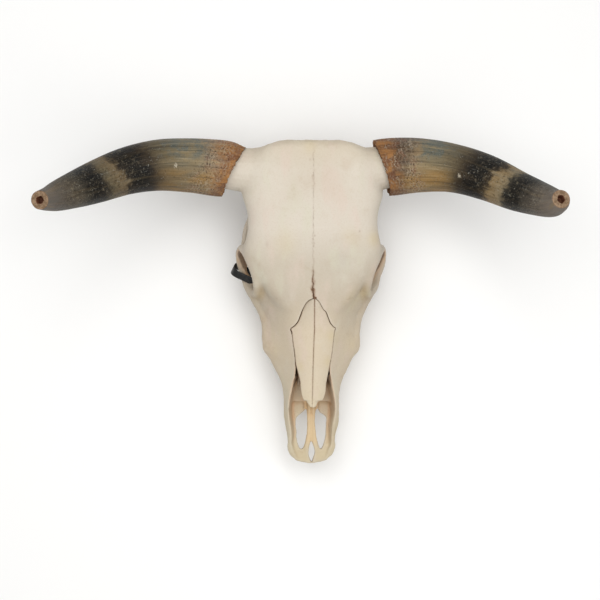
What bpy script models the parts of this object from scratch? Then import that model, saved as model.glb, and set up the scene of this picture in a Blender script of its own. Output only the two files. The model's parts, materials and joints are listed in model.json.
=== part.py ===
"""Steer skull with horns, without its lower jaw, lying on its last molars and its jugular processes.

The skull is drawn in its own measures, in metres: x is across, u is the distance from the poll towards
the muzzle, and d is the depth below the flat forehead. It is modelled as one mass, parted along its
sutures into named bones, and then laid down as it rests on a floor.
"""

import math

import bmesh
import bpy
from mathutils import Matrix, Vector

# Driving dimensions
SUTURE_GAP = 0.0006  # the thin cuts between bones
FIT_GAP = 0.0006  # clearance round the nasal bones
MASS_VOXEL = 0.0040
BONE_VOXEL = 0.0027
BONE_TRIANGLES = 5000  # of the whole mass, before it is parted
SEAM_THINNING = 0.77  # share of its triangles that a bone keeps after parting
FLOOR_BITE = 0.0016  # how far the four resting points are worn flat
SOFTENING = 0.0012  # how much the softened skin draws in at a blunt end

# Forehead: u, half width, depth of the middle, depth of the side edge
FOREHEAD = [
    (-0.003, 0.050, 0.016, 0.024),
    (0.001, 0.066, 0.007, 0.024),
    (0.009, 0.092, 0.002, 0.026),
    (0.024, 0.100, 0.000, 0.029),
    (0.052, 0.106, 0.000, 0.032),
    (0.078, 0.116, 0.000, 0.034),
    (0.092, 0.112, 0.000, 0.031),
    (0.112, 0.104, 0.001, 0.028),
    (0.140, 0.105, 0.002, 0.028),
    (0.158, 0.110, 0.004, 0.030),
    (0.172, 0.1125, 0.005, 0.034),
    (0.184, 0.110, 0.006, 0.031),
    (0.200, 0.101, 0.008, 0.028),
    (0.222, 0.090, 0.009, 0.030),
    (0.246, 0.072, 0.011, 0.034),
    (0.268, 0.050, 0.014, 0.036),
]
FOREHEAD_THICKNESS = 0.046

# Braincase: u, half width, top depth, bottom depth
BRAINCASE = [
    (0.024, 0.050, 0.040, 0.108),
    (0.040, 0.064, 0.032, 0.128),
    (0.065, 0.067, 0.024, 0.142),
    (0.095, 0.064, 0.020, 0.147),
    (0.130, 0.052, 0.020, 0.144),
    (0.165, 0.040, 0.020, 0.134),
    (0.200, 0.044, 0.018, 0.128),
    (0.235, 0.052, 0.018, 0.130),
]

# Back of the skull: depth, u of its rear face, half width
NUCHAL = [
    (0.014, 0.010, 0.080),
    (0.035, 0.005, 0.084),
    (0.060, 0.012, 0.082),
    (0.085, 0.024, 0.090),
    (0.106, 0.034, 0.104),
    (0.122, 0.042, 0.094),
    (0.138, 0.048, 0.062),
    (0.146, 0.052, 0.030),
]
NUCHAL_THICKNESS = 0.026

# Face: u, then the half section as (x, d) from the nasal ridge round the cheek to the palate
FACE = [
    (0.205, [(0, 0.008), (0.030, 0.009), (0.058, 0.013), (0.080, 0.022), (0.086, 0.036),
             (0.076, 0.070), (0.070, 0.095), (0.056, 0.118), (0.040, 0.128), (0, 0.128)]),
    (0.246, [(0, 0.011), (0.022, 0.012), (0.042, 0.018), (0.062, 0.032), (0.080, 0.052),
             (0.094, 0.076), (0.089, 0.096), (0.068, 0.136), (0.046, 0.150), (0, 0.132)]),
    (0.265, [(0, 0.012), (0.020, 0.013), (0.037, 0.019), (0.054, 0.036), (0.069, 0.058),
             (0.077, 0.081), (0.076, 0.098), (0.066, 0.142), (0.043, 0.150), (0, 0.130)]),
    (0.290, [(0, 0.014), (0.019, 0.015), (0.034, 0.021), (0.049, 0.041), (0.062, 0.064),
             (0.074, 0.085), (0.072, 0.100), (0.064, 0.140), (0.041, 0.145), (0, 0.126)]),
    (0.322, [(0, 0.017), (0.017, 0.018), (0.030, 0.025), (0.044, 0.045), (0.061, 0.067),
             (0.084, 0.087), (0.074, 0.098), (0.062, 0.129), (0.039, 0.133), (0, 0.119)]),
    (0.338, [(0, 0.019), (0.016, 0.020), (0.028, 0.028), (0.041, 0.046), (0.054, 0.066),
             (0.073, 0.086), (0.068, 0.096), (0.058, 0.123), (0.037, 0.126), (0, 0.114)]),
    (0.358, [(0, 0.022), (0.015, 0.023), (0.026, 0.031), (0.035, 0.048), (0.046, 0.066),
             (0.060, 0.085), (0.058, 0.094), (0.051, 0.116), (0.034, 0.118), (0, 0.108)]),
    (0.382, [(0, 0.026), (0.014, 0.027), (0.027, 0.036), (0.035, 0.051), (0.042, 0.066),
             (0.046, 0.082), (0.046, 0.091), (0.044, 0.106), (0.031, 0.108), (0, 0.102)]),
    (0.406, [(0, 0.031), (0.013, 0.033), (0.029, 0.044), (0.037, 0.056), (0.043, 0.069),
             (0.045, 0.081), (0.044, 0.089), (0.041, 0.100), (0.030, 0.102), (0, 0.098)]),
    (0.430, [(0, 0.050), (0.014, 0.051), (0.028, 0.058), (0.036, 0.066), (0.041, 0.075),
             (0.043, 0.083), (0.042, 0.089), (0.038, 0.098), (0.029, 0.100), (0, 0.097)]),
]

# Nose passage cut through the face: u, then the half section
NOSE = [
    (0.318, [(0, 0.046), (0.012, 0.048), (0.020, 0.058), (0.024, 0.072), (0.022, 0.082), (0, 0.086)]),
    (0.340, [(0, 0.035), (0.016, 0.037), (0.025, 0.052), (0.032, 0.070), (0.030, 0.088), (0, 0.094)]),
    (0.362, [(0, 0.034), (0.018, 0.036), (0.025, 0.050), (0.034, 0.070), (0.034, 0.088), (0, 0.094)]),
    (0.378, [(0, 0.010), (0.022, 0.018), (0.028, 0.046), (0.035, 0.068), (0.036, 0.086), (0, 0.092)]),
    (0.398, [(0, 0.010), (0.028, 0.020), (0.033, 0.052), (0.037, 0.070), (0.036, 0.084), (0, 0.090)]),
    (0.424, [(0, 0.010), (0.030, 0.030), (0.034, 0.060), (0.036, 0.072), (0.033, 0.084), (0, 0.089)]),
    (0.446, [(0, 0.010), (0.030, 0.040), (0.033, 0.064), (0.034, 0.075), (0.030, 0.086), (0, 0.090)]),
]

# Nasal bone: u, half width, depth of the ridge, fall to its side edge, thickness
NASAL = [
    (0.250, 0.005, 0.0115, 0.001, 0.010),
    (0.258, 0.013, 0.0118, 0.003, 0.011),
    (0.270, 0.019, 0.0125, 0.005, 0.011),
    (0.283, 0.025, 0.0135, 0.007, 0.011),
    (0.293, 0.0335, 0.0145, 0.010, 0.011),
    (0.302, 0.031, 0.0155, 0.009, 0.010),
    (0.322, 0.0300, 0.0170, 0.009, 0.009),
    (0.345, 0.0270, 0.0200, 0.009, 0.008),
    (0.365, 0.0235, 0.0230, 0.008, 0.006),
    (0.385, 0.0195, 0.0260, 0.007, 0.005),
    (0.402, 0.0155, 0.0295, 0.005, 0.004),
    (0.409, 0.0095, 0.0310, 0.003, 0.004),
    (0.417, 0.0030, 0.0325, 0.001, 0.0035),
]

# Orbit: centre (x, u, d), radius of the rim's centre line, how far the rim leans in at its front and top
ORBIT = (0.1015, 0.2040, 0.0630)
ORBIT_RADIUS = 0.0350
ORBIT_LEAN = (0.0110, 0.0085)
RIM = 0.0068

# Cheek teeth: name, length along the jaw, width; and the line that their crowns follow
TEETH = [("P2", 0.0160, 0.015), ("P3", 0.0175, 0.018), ("P4", 0.0180, 0.021),
         ("M1", 0.0245, 0.024), ("M2", 0.0275, 0.025), ("M3", 0.0300, 0.023)]
TOOTH_ROW_FRONT = 0.388
TOOTH_ROW_X = [(0.250, 0.0510), (0.290, 0.0520), (0.325, 0.0495), (0.360, 0.0430), (0.388, 0.0365)]
CROWN_DEPTH_BACK = 0.1780  # depth of the chewing surface at u = 0.250
CROWN_SLOPE = 0.36  # how much it rises towards the muzzle
CROWN_HEIGHT = 0.030

JUGULAR_TIP = (0.056, 0.076, 0.190)

# Horns: centre line as (x, u, d) outwards from the skull, with its radius
HORN_LEFT = [
    ((-0.075, 0.046, 0.044), 0.0450), ((-0.142, 0.041, 0.043), 0.0450), ((-0.192, 0.037, 0.036), 0.0425),
    ((-0.242, 0.038, 0.022), 0.0398), ((-0.290, 0.049, 0.002), 0.0363), ((-0.336, 0.069, -0.030), 0.0320),
    ((-0.379, 0.091, -0.086), 0.0238), ((-0.394, 0.099, -0.116), 0.0182), ((-0.404, 0.103, -0.146), 0.0137),
]
HORN_RIGHT = [
    ((0.070, 0.046, 0.044), 0.0458), ((0.123, 0.038, 0.043), 0.0458), ((0.172, 0.036, 0.034), 0.0425),
    ((0.221, 0.042, 0.017), 0.0378), ((0.267, 0.058, -0.010), 0.0352), ((0.310, 0.082, -0.050), 0.0306),
    ((0.345, 0.101, -0.108), 0.0236), ((0.354, 0.103, -0.130), 0.0186), ((0.357, 0.100, -0.148), 0.0138),
]
# Where each horn starts, x on its centre line, and how far its cut edge leans
HORN_START = {"left": 0.1230, "right": 0.1110}
HORN_EDGE_LEAN = {"left": math.radians(24), "right": math.radians(17)}
HORN_EDGE_PLACE = (0.044, 0.044)  # u and d of the middle of that edge
SOCKET_REACH = 0.105  # how far out the socket goes, from the start of the centre line
SOCKET_PLAY = 0.0018
CORE_SHORTFALL = 0.012  # how much sooner the bone core ends
CORE_RADIUS = 0.0385
CORE_ROOT = (0.045, 0.050, 0.042)
TIP_BORE = (0.0060, 0.012)

# Strap tag on the left cheekbone
BAND_CENTRE = (-0.1045, 0.2095, 0.0980)
BAND_HALF = (0.0235, 0.0165)
BAND_WIDTH = 0.0125
BAND_THICKNESS = 0.0016
BAND_TURN = math.radians(-28)

FINISHES = {  # start of a piece's name: colour, roughness
    "forehead": ((0.70, 0.65, 0.56), 0.50),
    "nasal": ((0.68, 0.62, 0.52), 0.50),
    "maxilla": ((0.64, 0.57, 0.46), 0.55),
    "cheekbone": ((0.64, 0.57, 0.46), 0.55),
    "braincase": ((0.60, 0.52, 0.40), 0.60),
    "incisive": ((0.62, 0.55, 0.41), 0.60),
    "vomer": ((0.62, 0.48, 0.30), 0.60),
    "horn": ((0.20, 0.15, 0.09), 0.40),
    "tag": ((0.02, 0.02, 0.02), 0.45),
}

SIDES = {"left": -1, "right": 1}


# Tools
def at(x, u, d):
    """A point from skull measures: across, from the poll forwards, below the forehead."""
    return Vector((x, -u, -d))


def start_scene():
    for obj in list(bpy.data.objects):
        bpy.data.objects.remove(obj)
    for title in ("steer_skull", "cutters"):
        bpy.context.scene.collection.children.link(bpy.data.collections.new(title))


def new_object(name, bm):
    mesh = bpy.data.meshes.new(name)
    bm.to_mesh(mesh)
    bm.free()
    obj = bpy.data.objects.new(name, mesh)
    bpy.data.collections["cutters"].objects.link(obj)
    return obj


def skin(name, rings, ring_closed=True, split=False):
    """A surface through rings of equal count, capped at its two ends.

    Split makes triangles with all diagonals the same way, so that a grown copy keeps its distance.
    """
    bm = bmesh.new()
    rows = [[bm.verts.new(p) for p in ring] for ring in rings]
    count = len(rings[0])
    spans = count if ring_closed else count - 1
    for a, b in zip(rows, rows[1:]):
        for i in range(spans):
            j = (i + 1) % count
            if split:
                bm.faces.new((a[i], a[j], b[j]))
                bm.faces.new((a[i], b[j], b[i]))
            else:
                bm.faces.new((a[i], a[j], b[j], b[i]))
    bm.faces.new(rows[0][::-1])
    bm.faces.new(rows[-1])
    bmesh.ops.recalc_face_normals(bm, faces=bm.faces)
    return new_object(name, bm)


def baked(obj):
    """Replaces an object's mesh with the one its modifiers make."""
    bpy.context.view_layer.update()
    graph = bpy.context.evaluated_depsgraph_get()
    mesh = bpy.data.meshes.new_from_object(obj.evaluated_get(graph))
    obj.modifiers.clear()
    obj.data = mesh
    return obj


def smoothed(obj, levels):
    subsurf = obj.modifiers.new("rounding", "SUBSURF")
    subsurf.levels = subsurf.render_levels = levels
    return obj


def mirrored(obj):
    mirror = obj.modifiers.new("other_side", "MIRROR")
    mirror.merge_threshold = 0.0001
    return obj


def half_loft(name, stations):
    """A symmetric body from half sections that start and end on the midline."""
    rings = [[at(x, u, d) for x, d in section] for u, section in stations]
    obj = mirrored(skin(name, rings, ring_closed=False))
    return baked(smoothed(obj, 2))


def ring_at(centre, along, up, half_across, half_up, count=10):
    along = along.normalized()
    across = along.cross(up).normalized()
    rise = across.cross(along)
    turns = [2 * math.pi * i / count for i in range(count)]
    return [centre + across * half_across * math.cos(t) + rise * half_up * math.sin(t) for t in turns]


def bar(name, path, up=(0, 0, 1), both_sides=True):
    """A bar along points (x, u, d), each with its half thickness across and half height."""
    points = [at(*p) for p, _, _ in path]
    rings = []
    for i, (_, across, rise) in enumerate(path):
        along = points[min(i + 1, len(points) - 1)] - points[max(i - 1, 0)]
        rings.append(ring_at(points[i], along, Vector(up), across, rise))
    obj = smoothed(skin(name, rings), 1)
    if both_sides:
        mirrored(obj)
    return baked(obj)


def tube(name, points, radii, sides=16, closed=False):
    """A round tube through points, with a radius at each."""
    curve = bpy.data.curves.new(name, "CURVE")
    curve.dimensions = "3D"
    curve.bevel_depth = 1.0
    curve.bevel_resolution = sides // 2 - 2
    curve.use_fill_caps = not closed
    spline = curve.splines.new("POLY")
    spline.points.add(len(points) - 1)
    for dot, point, radius in zip(spline.points, points, radii):
        dot.co = (*point, 1)
        dot.radius = radius
    spline.use_cyclic_u = closed
    return meshed(name, curve)


def meshed(name, curve):
    """An object with the welded mesh of a curve."""
    guide = bpy.data.objects.new(name, curve)
    bpy.data.collections["cutters"].objects.link(guide)
    bpy.context.view_layer.update()
    graph = bpy.context.evaluated_depsgraph_get()
    bm = bmesh.new()
    bm.from_mesh(bpy.data.meshes.new_from_object(guide.evaluated_get(graph)))
    bpy.data.objects.remove(guide)
    bmesh.ops.remove_doubles(bm, verts=bm.verts, dist=0.00001)
    bmesh.ops.recalc_face_normals(bm, faces=bm.faces)
    return new_object(name, bm)


def ball(name, centre, radii, turn=(0, 0, 0), both_sides=True):
    bm = bmesh.new()
    bmesh.ops.create_uvsphere(bm, u_segments=20, v_segments=12, radius=1)
    shape = Matrix.Diagonal((*radii, 1))
    tilt = (Matrix.Rotation(turn[0], 4, "X") @ Matrix.Rotation(turn[1], 4, "Y")
            @ Matrix.Rotation(turn[2], 4, "Z"))
    bm.transform(Matrix.Translation(at(*centre)) @ tilt @ shape)
    obj = new_object(name, bm)
    return baked(mirrored(obj)) if both_sides else obj


def fused(name, objects, voxel, smoothing):
    """Joins overlapping bodies into one skin, and softens their joints."""
    bm = bmesh.new()
    for obj in objects:
        bm.from_mesh(obj.data)
        bpy.data.objects.remove(obj)
    obj = new_object(name, bm)
    remesh = obj.modifiers.new("one_skin", "REMESH")
    remesh.mode = "VOXEL"
    remesh.voxel_size = voxel
    smooth = obj.modifiers.new("soft_joints", "SMOOTH")
    smooth.factor = 0.5
    smooth.iterations = smoothing
    return baked(obj)


def in_triangles(obj):
    bm = bmesh.new()
    bm.from_mesh(obj.data)
    bmesh.ops.triangulate(bm, faces=bm.faces)
    bm.to_mesh(obj.data)
    bm.free()


def cut(obj, cutter, operation="DIFFERENCE"):
    in_triangles(cutter)
    boolean = obj.modifiers.new("cut", "BOOLEAN")
    boolean.operation = operation
    boolean.object = cutter
    baked(obj)
    in_triangles(obj)
    bpy.data.objects.remove(cutter)
    return obj


def lerp_table(table, x):
    """Value at x of a table of (x, value) rows in rising order of x."""
    for (x0, y0), (x1, y1) in zip(table, table[1:]):
        if x <= x1:
            return y0 + (y1 - y0) * max(0.0, x - x0) / (x1 - x0)
    return table[-1][1]


def ease(x, low, high):
    t = min(1.0, max(0.0, (x - low) / (high - low)))
    return t * t * (3 - 2 * t)


# Masses
def forehead():
    stations = []
    for u, width, middle, edge in FOREHEAD:
        sole = middle + FOREHEAD_THICKNESS
        stations.append((u, [
            (0, middle),
            (0.36 * width, middle + 0.0008),
            (0.68 * width, middle + 0.10 * (edge - middle)),
            (0.90 * width, middle + 0.36 * (edge - middle)),
            (width, edge),
            (0.92 * width, edge + 0.010),
            (0.62 * width, sole),
            (0, sole),
        ]))
    return half_loft("forehead", stations)


def braincase():
    stations = []
    for u, width, top, bottom in BRAINCASE:
        depth = bottom - top
        stations.append((u, [(0, top), (0.75 * width, top + 0.05 * depth), (width, top + 0.35 * depth),
                             (0.98 * width, top + 0.62 * depth), (0.62 * width, top + 0.92 * depth),
                             (0, bottom)]))
    return half_loft("braincase", stations)


def nuchal_wall():
    """The back of the skull, from under the poll down to the rim of the great foramen."""
    rings = []
    for d, u, width in NUCHAL:
        rear = [(0, u), (0.55 * width, u + 0.002), (0.9 * width, u + 0.008), (width, u + 0.016)]
        front = [(0.8 * width, u + NUCHAL_THICKNESS + 0.006), (0, u + NUCHAL_THICKNESS + 0.010)]
        rings.append([at(x, v, d) for x, v in rear + front])
    return baked(smoothed(mirrored(skin("nuchal_wall", rings, ring_closed=False)), 2))


def rim_point(turn, out=0.0):
    """A point on the rim of the right orbit. Turn 0 is its front, a quarter turn its lower edge."""
    x, u, d = ORBIT
    reach = ORBIT_RADIUS + out
    lean_in, lean_out = ORBIT_LEAN
    return (x - lean_in * math.cos(turn) + lean_out * math.sin(turn),
            u + reach * math.cos(turn), d + reach * math.sin(turn))


def orbit_rim():
    turns = [2 * math.pi * i / 24 for i in range(24)]
    ring = tube("orbit_rim", [at(*rim_point(t)) for t in turns], [RIM] * 24, 12, closed=True)
    return baked(mirrored(ring))


def cheek_bars():
    """The arch behind the orbit and the crest that runs from it along the face."""
    arch = [((0.1085, 0.196, 0.100), 0.006, 0.011), ((0.1090, 0.172, 0.106), 0.005, 0.011),
            ((0.1070, 0.148, 0.110), 0.005, 0.010), ((0.1030, 0.126, 0.111), 0.005, 0.009),
            ((0.0920, 0.112, 0.113), 0.008, 0.009), ((0.0740, 0.106, 0.114), 0.012, 0.012)]
    crest = [((0.101, 0.210, 0.096), 0.009, 0.010), ((0.093, 0.238, 0.092), 0.010, 0.014),
             ((0.077, 0.262, 0.090), 0.010, 0.014), ((0.068, 0.290, 0.089), 0.009, 0.010),
             ((0.068, 0.322, 0.088), 0.010, 0.008)]
    post = [((0.1020, 0.166, 0.032), 0.006, 0.012), ((0.1050, 0.167, 0.055), 0.005, 0.009),
            ((0.1070, 0.170, 0.080), 0.005, 0.009), ((0.1080, 0.174, 0.102), 0.005, 0.014)]
    return [bar("arch", arch), bar("crest", crest), bar("postorbital", post, up=(0, 1, 0))]


def base_bones():
    """Basin of the skull: condyles, jugular processes, ear bones, jaw sockets and the central bar."""
    tip_x, tip_u, tip_d = JUGULAR_TIP
    parts = [
        ball("condyle", (0.030, 0.050, 0.140), (0.019, 0.017, 0.025), (0.3, 0.35, 0)),
        ball("condyle_lip", (0.016, 0.062, 0.152), (0.014, 0.018, 0.010), (0, 0.3, 0.2)),
        bar("jugular", [((0.070, 0.052, 0.118), 0.020, 0.014), ((0.067, 0.058, 0.140), 0.015, 0.012),
                        ((0.062, 0.066, 0.166), 0.007, 0.013),
                        ((tip_x, tip_u, tip_d + 2 * SOFTENING), 0.0065, 0.0085)], up=(0, 1, 0)),
        bar("mastoid", [((0.100, 0.050, 0.098), 0.010, 0.010), ((0.094, 0.056, 0.118), 0.012, 0.012),
                        ((0.080, 0.060, 0.132), 0.010, 0.010)], up=(0, 1, 0)),
        ball("bulla", (0.044, 0.098, 0.148), (0.009, 0.016, 0.018), (0.3, 0, 0.2)),
        bar("bulla_spike", [((0.046, 0.104, 0.156), 0.006, 0.006), ((0.042, 0.118, 0.170), 0.004, 0.004)]),
        ball("ear_tube", (0.068, 0.094, 0.120), (0.020, 0.009, 0.010)),
        ball("jaw_socket", (0.074, 0.120, 0.121), (0.026, 0.013, 0.009)),
        ball("behind_socket", (0.064, 0.106, 0.128), (0.012, 0.006, 0.010)),
        bar("base_bar", [((0, 0.052, 0.150), 0.026, 0.010), ((0, 0.080, 0.150), 0.021, 0.011),
                         ((0, 0.098, 0.150), 0.024, 0.012), ((0, 0.130, 0.143), 0.019, 0.012),
                         ((0, 0.170, 0.134), 0.015, 0.012), ((0, 0.210, 0.126), 0.014, 0.012)],
            both_sides=False),
    ]
    # wings beside the rear opening of the nose, each ending in a small hook
    wing = [((0.0310, 0.246, 0.134), 0.0080, 0.018), ((0.0275, 0.222, 0.138), 0.0055, 0.019),
            ((0.0270, 0.198, 0.140), 0.0050, 0.020), ((0.0275, 0.176, 0.140), 0.0052, 0.020),
            ((0.0280, 0.158, 0.136), 0.0060, 0.016)]
    hook = [((0.0275, 0.184, 0.152), 0.0048, 0.007), ((0.0285, 0.168, 0.163), 0.0042, 0.005)]
    parts += [bar("wing", wing), bar("hook", hook)]
    parts.append(ball("tuber", (0.052, 0.240, 0.130), (0.017, 0.020, 0.024)))
    return parts


def crown_depth(u):
    return CROWN_DEPTH_BACK - CROWN_SLOPE * (u - 0.250)


def cheek_teeth():
    """Six teeth a side. A premolar has one lobe, a molar two."""
    parts = []
    u = TOOTH_ROW_FRONT
    for name, length, width in TEETH:
        lobes = 2 if name[0] == "M" else 1
        for k in range(lobes):
            middle = u - length * (k + 0.5) / lobes
            x = lerp_table(TOOTH_ROW_X, middle)
            half = 0.5 * length / lobes + 0.0006
            foot = crown_depth(middle) + SOFTENING
            root = foot - CROWN_HEIGHT
            bm = bmesh.new()
            bmesh.ops.create_cone(bm, cap_ends=True, segments=12, radius1=0.92, radius2=1.0, depth=1)
            for v in bm.verts:
                low = v.co.z < 0
                across, along = v.co.x * width / 2, v.co.y * half
                v.co = at(x + across, middle - along, foot if low else root)
                v.co.z -= CROWN_SLOPE * along if low else 0.0
            obj = new_object(f"tooth_{name}_{k}", bm)
            parts.append(baked(mirrored(obj)))
        u -= length
    return parts


def muzzle():
    """Each incisive bone: flat body at the front, a side limb, and a limb along the midline."""
    side_limb = [((0.0335, 0.376, 0.044), 0.004, 0.005), ((0.0385, 0.402, 0.056), 0.0048, 0.008),
                 ((0.0395, 0.425, 0.066), 0.0050, 0.010), ((0.0375, 0.446, 0.078), 0.0060, 0.010),
                 ((0.0335, 0.466, 0.087), 0.0065, 0.008), ((0.0300, 0.484, 0.090), 0.0085, 0.007)]
    lower_edge = [((0.0400, 0.400, 0.090), 0.005, 0.010), ((0.0385, 0.424, 0.090), 0.005, 0.008),
                  ((0.0345, 0.446, 0.090), 0.0055, 0.007), ((0.0300, 0.466, 0.091), 0.0065, 0.0065)]
    body = [((0.0355, 0.466, 0.089), 0.0055, 0.0070), ((0.0335, 0.483, 0.091), 0.0088, 0.0072),
            ((0.0255, 0.496, 0.093), 0.0110, 0.0070), ((0.0155, 0.5025, 0.094), 0.0108, 0.0066),
            ((0.0065, 0.5040, 0.095), 0.0085, 0.0060)]
    mid_limb = [((0.0145, 0.494, 0.092), 0.0065, 0.0060), ((0.0100, 0.478, 0.090), 0.0045, 0.0055),
                ((0.0056, 0.462, 0.088), 0.0050, 0.0055), ((0.0032, 0.440, 0.086), 0.0040, 0.0050),
                ((0.0032, 0.412, 0.085), 0.0040, 0.0060), ((0.0030, 0.380, 0.086), 0.0036, 0.0070),
                ((0.0030, 0.345, 0.088), 0.0034, 0.0100)]
    shelf = [((0.022, 0.396, 0.094), 0.022, 0.0040), ((0.022, 0.412, 0.094), 0.020, 0.0035),
             ((0.030, 0.426, 0.0945), 0.009, 0.0030)]
    return [bar("side_limb", side_limb), bar("lower_edge", lower_edge), bar("body", body),
            bar("mid_limb", mid_limb), bar("shelf", shelf)]


def horn_path(points, samples=3):
    """Points and radii along a smooth line through the given ones."""
    rows = [(*at(*p), r) for p, r in points]
    rows = [tuple(2 * a - b for a, b in zip(rows[0], rows[1]))] + rows
    rows = rows + [tuple(2 * a - b for a, b in zip(rows[-1], rows[-2]))]
    found = []
    for a, b, c, e in zip(rows, rows[1:], rows[2:], rows[3:]):
        for k in range(samples):
            t = k / samples
            found.append(tuple(
                0.5 * (2 * q + (r - p) * t + (2 * p - 5 * q + 4 * r - s) * t * t
                       + (3 * q - p - 3 * r + s) * t ** 3)
                for p, q, r, s in zip(a, b, c, e)))
    found.append(rows[-2])
    return [(Vector(row[:3]), row[3]) for row in found]


def horn_tube(name, path):
    return tube(name, [point for point, _ in path], [radius for _, radius in path])


def core_radius(reach):
    """Radius of a bone core at a reach outwards from where its horn's centre line starts."""
    return CORE_RADIUS - 0.085 * max(0.0, reach - 0.02) + 0.006 * (1 - ease(reach, 0, 0.03))


def horn_cores():
    cores = []
    for points in (HORN_LEFT, HORN_RIGHT):
        path = horn_path(points)
        start = abs(path[0][0].x)
        inner = []
        for point, _ in path:
            reach = abs(point.x) - start
            if reach > SOCKET_REACH - CORE_SHORTFALL:
                break
            inner.append((point, core_radius(reach)))
        x, u, d = CORE_ROOT
        root = at(math.copysign(x, path[0][0].x), u, d)
        cores.append(horn_tube("core", [(root, 0.030)] + inner))
    return cores


def skull_mass():
    """Everything but the nasal bones, as one skin."""
    body = fused("body", [forehead(), braincase(), nuchal_wall(), half_loft("face", FACE)],
                 MASS_VOXEL, 6)
    eye = ball("eye_hollow", (0.118, 0.203, 0.064), (0.062, 0.0325, 0.0335), (0, -0.10, -0.30))
    deep = ball("eye_depth", (0.070, 0.184, 0.080), (0.040, 0.024, 0.028), (0, 0.15, -0.5))
    floor = ball("eye_floor", (0.082, 0.200, 0.094), (0.024, 0.0365, 0.030))
    under = ball("under_eye", (0.076, 0.186, 0.124), (0.028, 0.045, 0.034))
    hollows = fused("hollows", [eye, deep, floor, under], BONE_VOXEL, 2)
    nose = half_loft("nose", NOSE)
    gullet = bar("gullet", [((0, 0.262, 0.138), 0.012, 0.010), ((0, 0.236, 0.140), 0.017, 0.016),
                            ((0, 0.200, 0.148), 0.018, 0.018), ((0, 0.170, 0.156), 0.018, 0.016)],
                 both_sides=False)
    marrow = bar("great_foramen", [((0, 0.020, 0.125), 0.019, 0.017), ((0, 0.046, 0.130), 0.018, 0.016),
                                   ((0, 0.072, 0.128), 0.015, 0.014)], both_sides=False)
    for cutter in (hollows, nose, gullet):
        cut(body, cutter)
    parts = [body, orbit_rim(), *cheek_bars(), *base_bones(), *cheek_teeth(), *muzzle(), *horn_cores()]
    whole = fused("whole", parts, BONE_VOXEL, 3)
    cut(whole, marrow)
    return whole


def thinned(obj, triangles):
    count = sum(len(p.vertices) - 2 for p in obj.data.polygons)
    decimate = obj.modifiers.new("fewer_faces", "DECIMATE")
    decimate.ratio = min(1.0, triangles / count)
    return baked(obj)


# Seams
def copied(obj, name):
    copy = bpy.data.objects.new(name, obj.data.copy())
    bpy.data.collections["cutters"].objects.link(copy)
    return copy


def part_off(obj, name, region):
    """Takes the region out of an object as a new one, and leaves a thin gap between the two."""
    piece = cut(copied(obj, name), region(0.0), "INTERSECT")
    cut(obj, region(SUTURE_GAP))
    return piece


def block(name, centre, sizes, turn=Matrix.Identity(4)):
    bm = bmesh.new()
    bmesh.ops.create_cube(bm, size=1)
    bm.transform(Matrix.Translation(centre) @ turn @ Matrix.Diagonal((*sizes, 1)))
    return new_object(name, bm)


def halves(obj, title):
    """The two sides of an object, parted along the midline."""
    pieces = []
    for side, sign in SIDES.items():
        half = block("side", at(sign * (0.3 + SUTURE_GAP / 2), 0.25, 0.1), (0.6, 1.2, 1.0))
        pieces.append(cut(copied(obj, f"{title}_{side}"), half, "INTERSECT"))
    bpy.data.objects.remove(obj)
    return pieces


def roof_region(grow):
    """Everything above the seam under the forehead, as far forward as the nasal bones."""
    rings = []
    for x in (-0.30, -0.118, -0.088, -0.062, -0.036, 0.0, 0.036, 0.062, 0.088, 0.118, 0.30):
        wide = abs(x)
        under_horn = 0.066 + 0.036 * ease(wide, 0.060, 0.086)
        front = lerp_table([(0.0, 0.246), (0.036, 0.252), (0.062, 0.243), (0.088, 0.236), (0.30, 0.236)],
                           wide)
        row = [(-0.06, under_horn), (0.105, under_horn), (0.128, 0.064), (0.190, 0.060), (0.214, 0.050),
               (front, 0.040), (front, -0.06), (-0.06, -0.06)]
        rings.append([at(x, u + grow * (u == front), d + grow * (d > 0)) for u, d in row])
    return skin("roof_region", rings)


def cheek_region(sign):
    """The outer side of the face round the lower half of the orbit, back to the middle of the arch."""
    stations = [  # u, inner x, upper depth, lower depth
        (0.147, 0.084, 0.084, 0.150), (0.158, 0.086, 0.050, 0.150), (0.195, 0.080, 0.050, 0.140),
        (0.228, 0.068, 0.032, 0.118), (0.250, 0.050, 0.018, 0.110), (0.272, 0.047, 0.022, 0.105),
        (0.292, 0.047, 0.038, 0.102), (0.310, 0.054, 0.062, 0.098), (0.322, 0.064, 0.080, 0.095),
    ]

    def region(grow):
        rings = []
        for i, (u, inner, upper, lower) in enumerate(stations):
            u += grow * ((i == len(stations) - 1) - (i == 0))
            near, far = sign * (inner - grow), sign * 0.2
            rings.append([at(near, u, upper - grow), at(far, u, upper - grow),
                          at(far, u, lower + grow), at(near, u, lower + grow)])
        return skin("cheek_region", rings)

    return region


def slanted_region(name, upper, lower):
    """Everything in front of a slanted plane, given by its depth and u at two places."""
    (d0, u0), (d1, u1) = upper, lower
    lean = math.atan2(u0 - u1, d1 - d0)

    def region(grow):
        turn = Matrix.Rotation(lean, 4, "X")
        near = at(0, u0 - grow, d0) + turn @ Vector((0, -0.3, 0))
        return block(name, near, (0.6, 0.6, 0.9), turn)

    return region


def vomer_region(grow):
    """The bar along the middle of the nose floor, as far forward as the fork of the incisive bones."""
    rings = []
    for u, half, sole in ((0.356 - grow, 0.0105, 0.0925), (0.408, 0.0105, 0.0925),
                          (0.428, 0.0110, 0.0990), (0.4625 + grow, 0.0135, 0.0990)):
        half, sole = half + grow, sole + grow
        rings.append([at(x, u, d) for x, d in ((-half, 0.070), (half, 0.070), (half, sole), (-half, sole))])
    return skin("vomer_region", rings)


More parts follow.
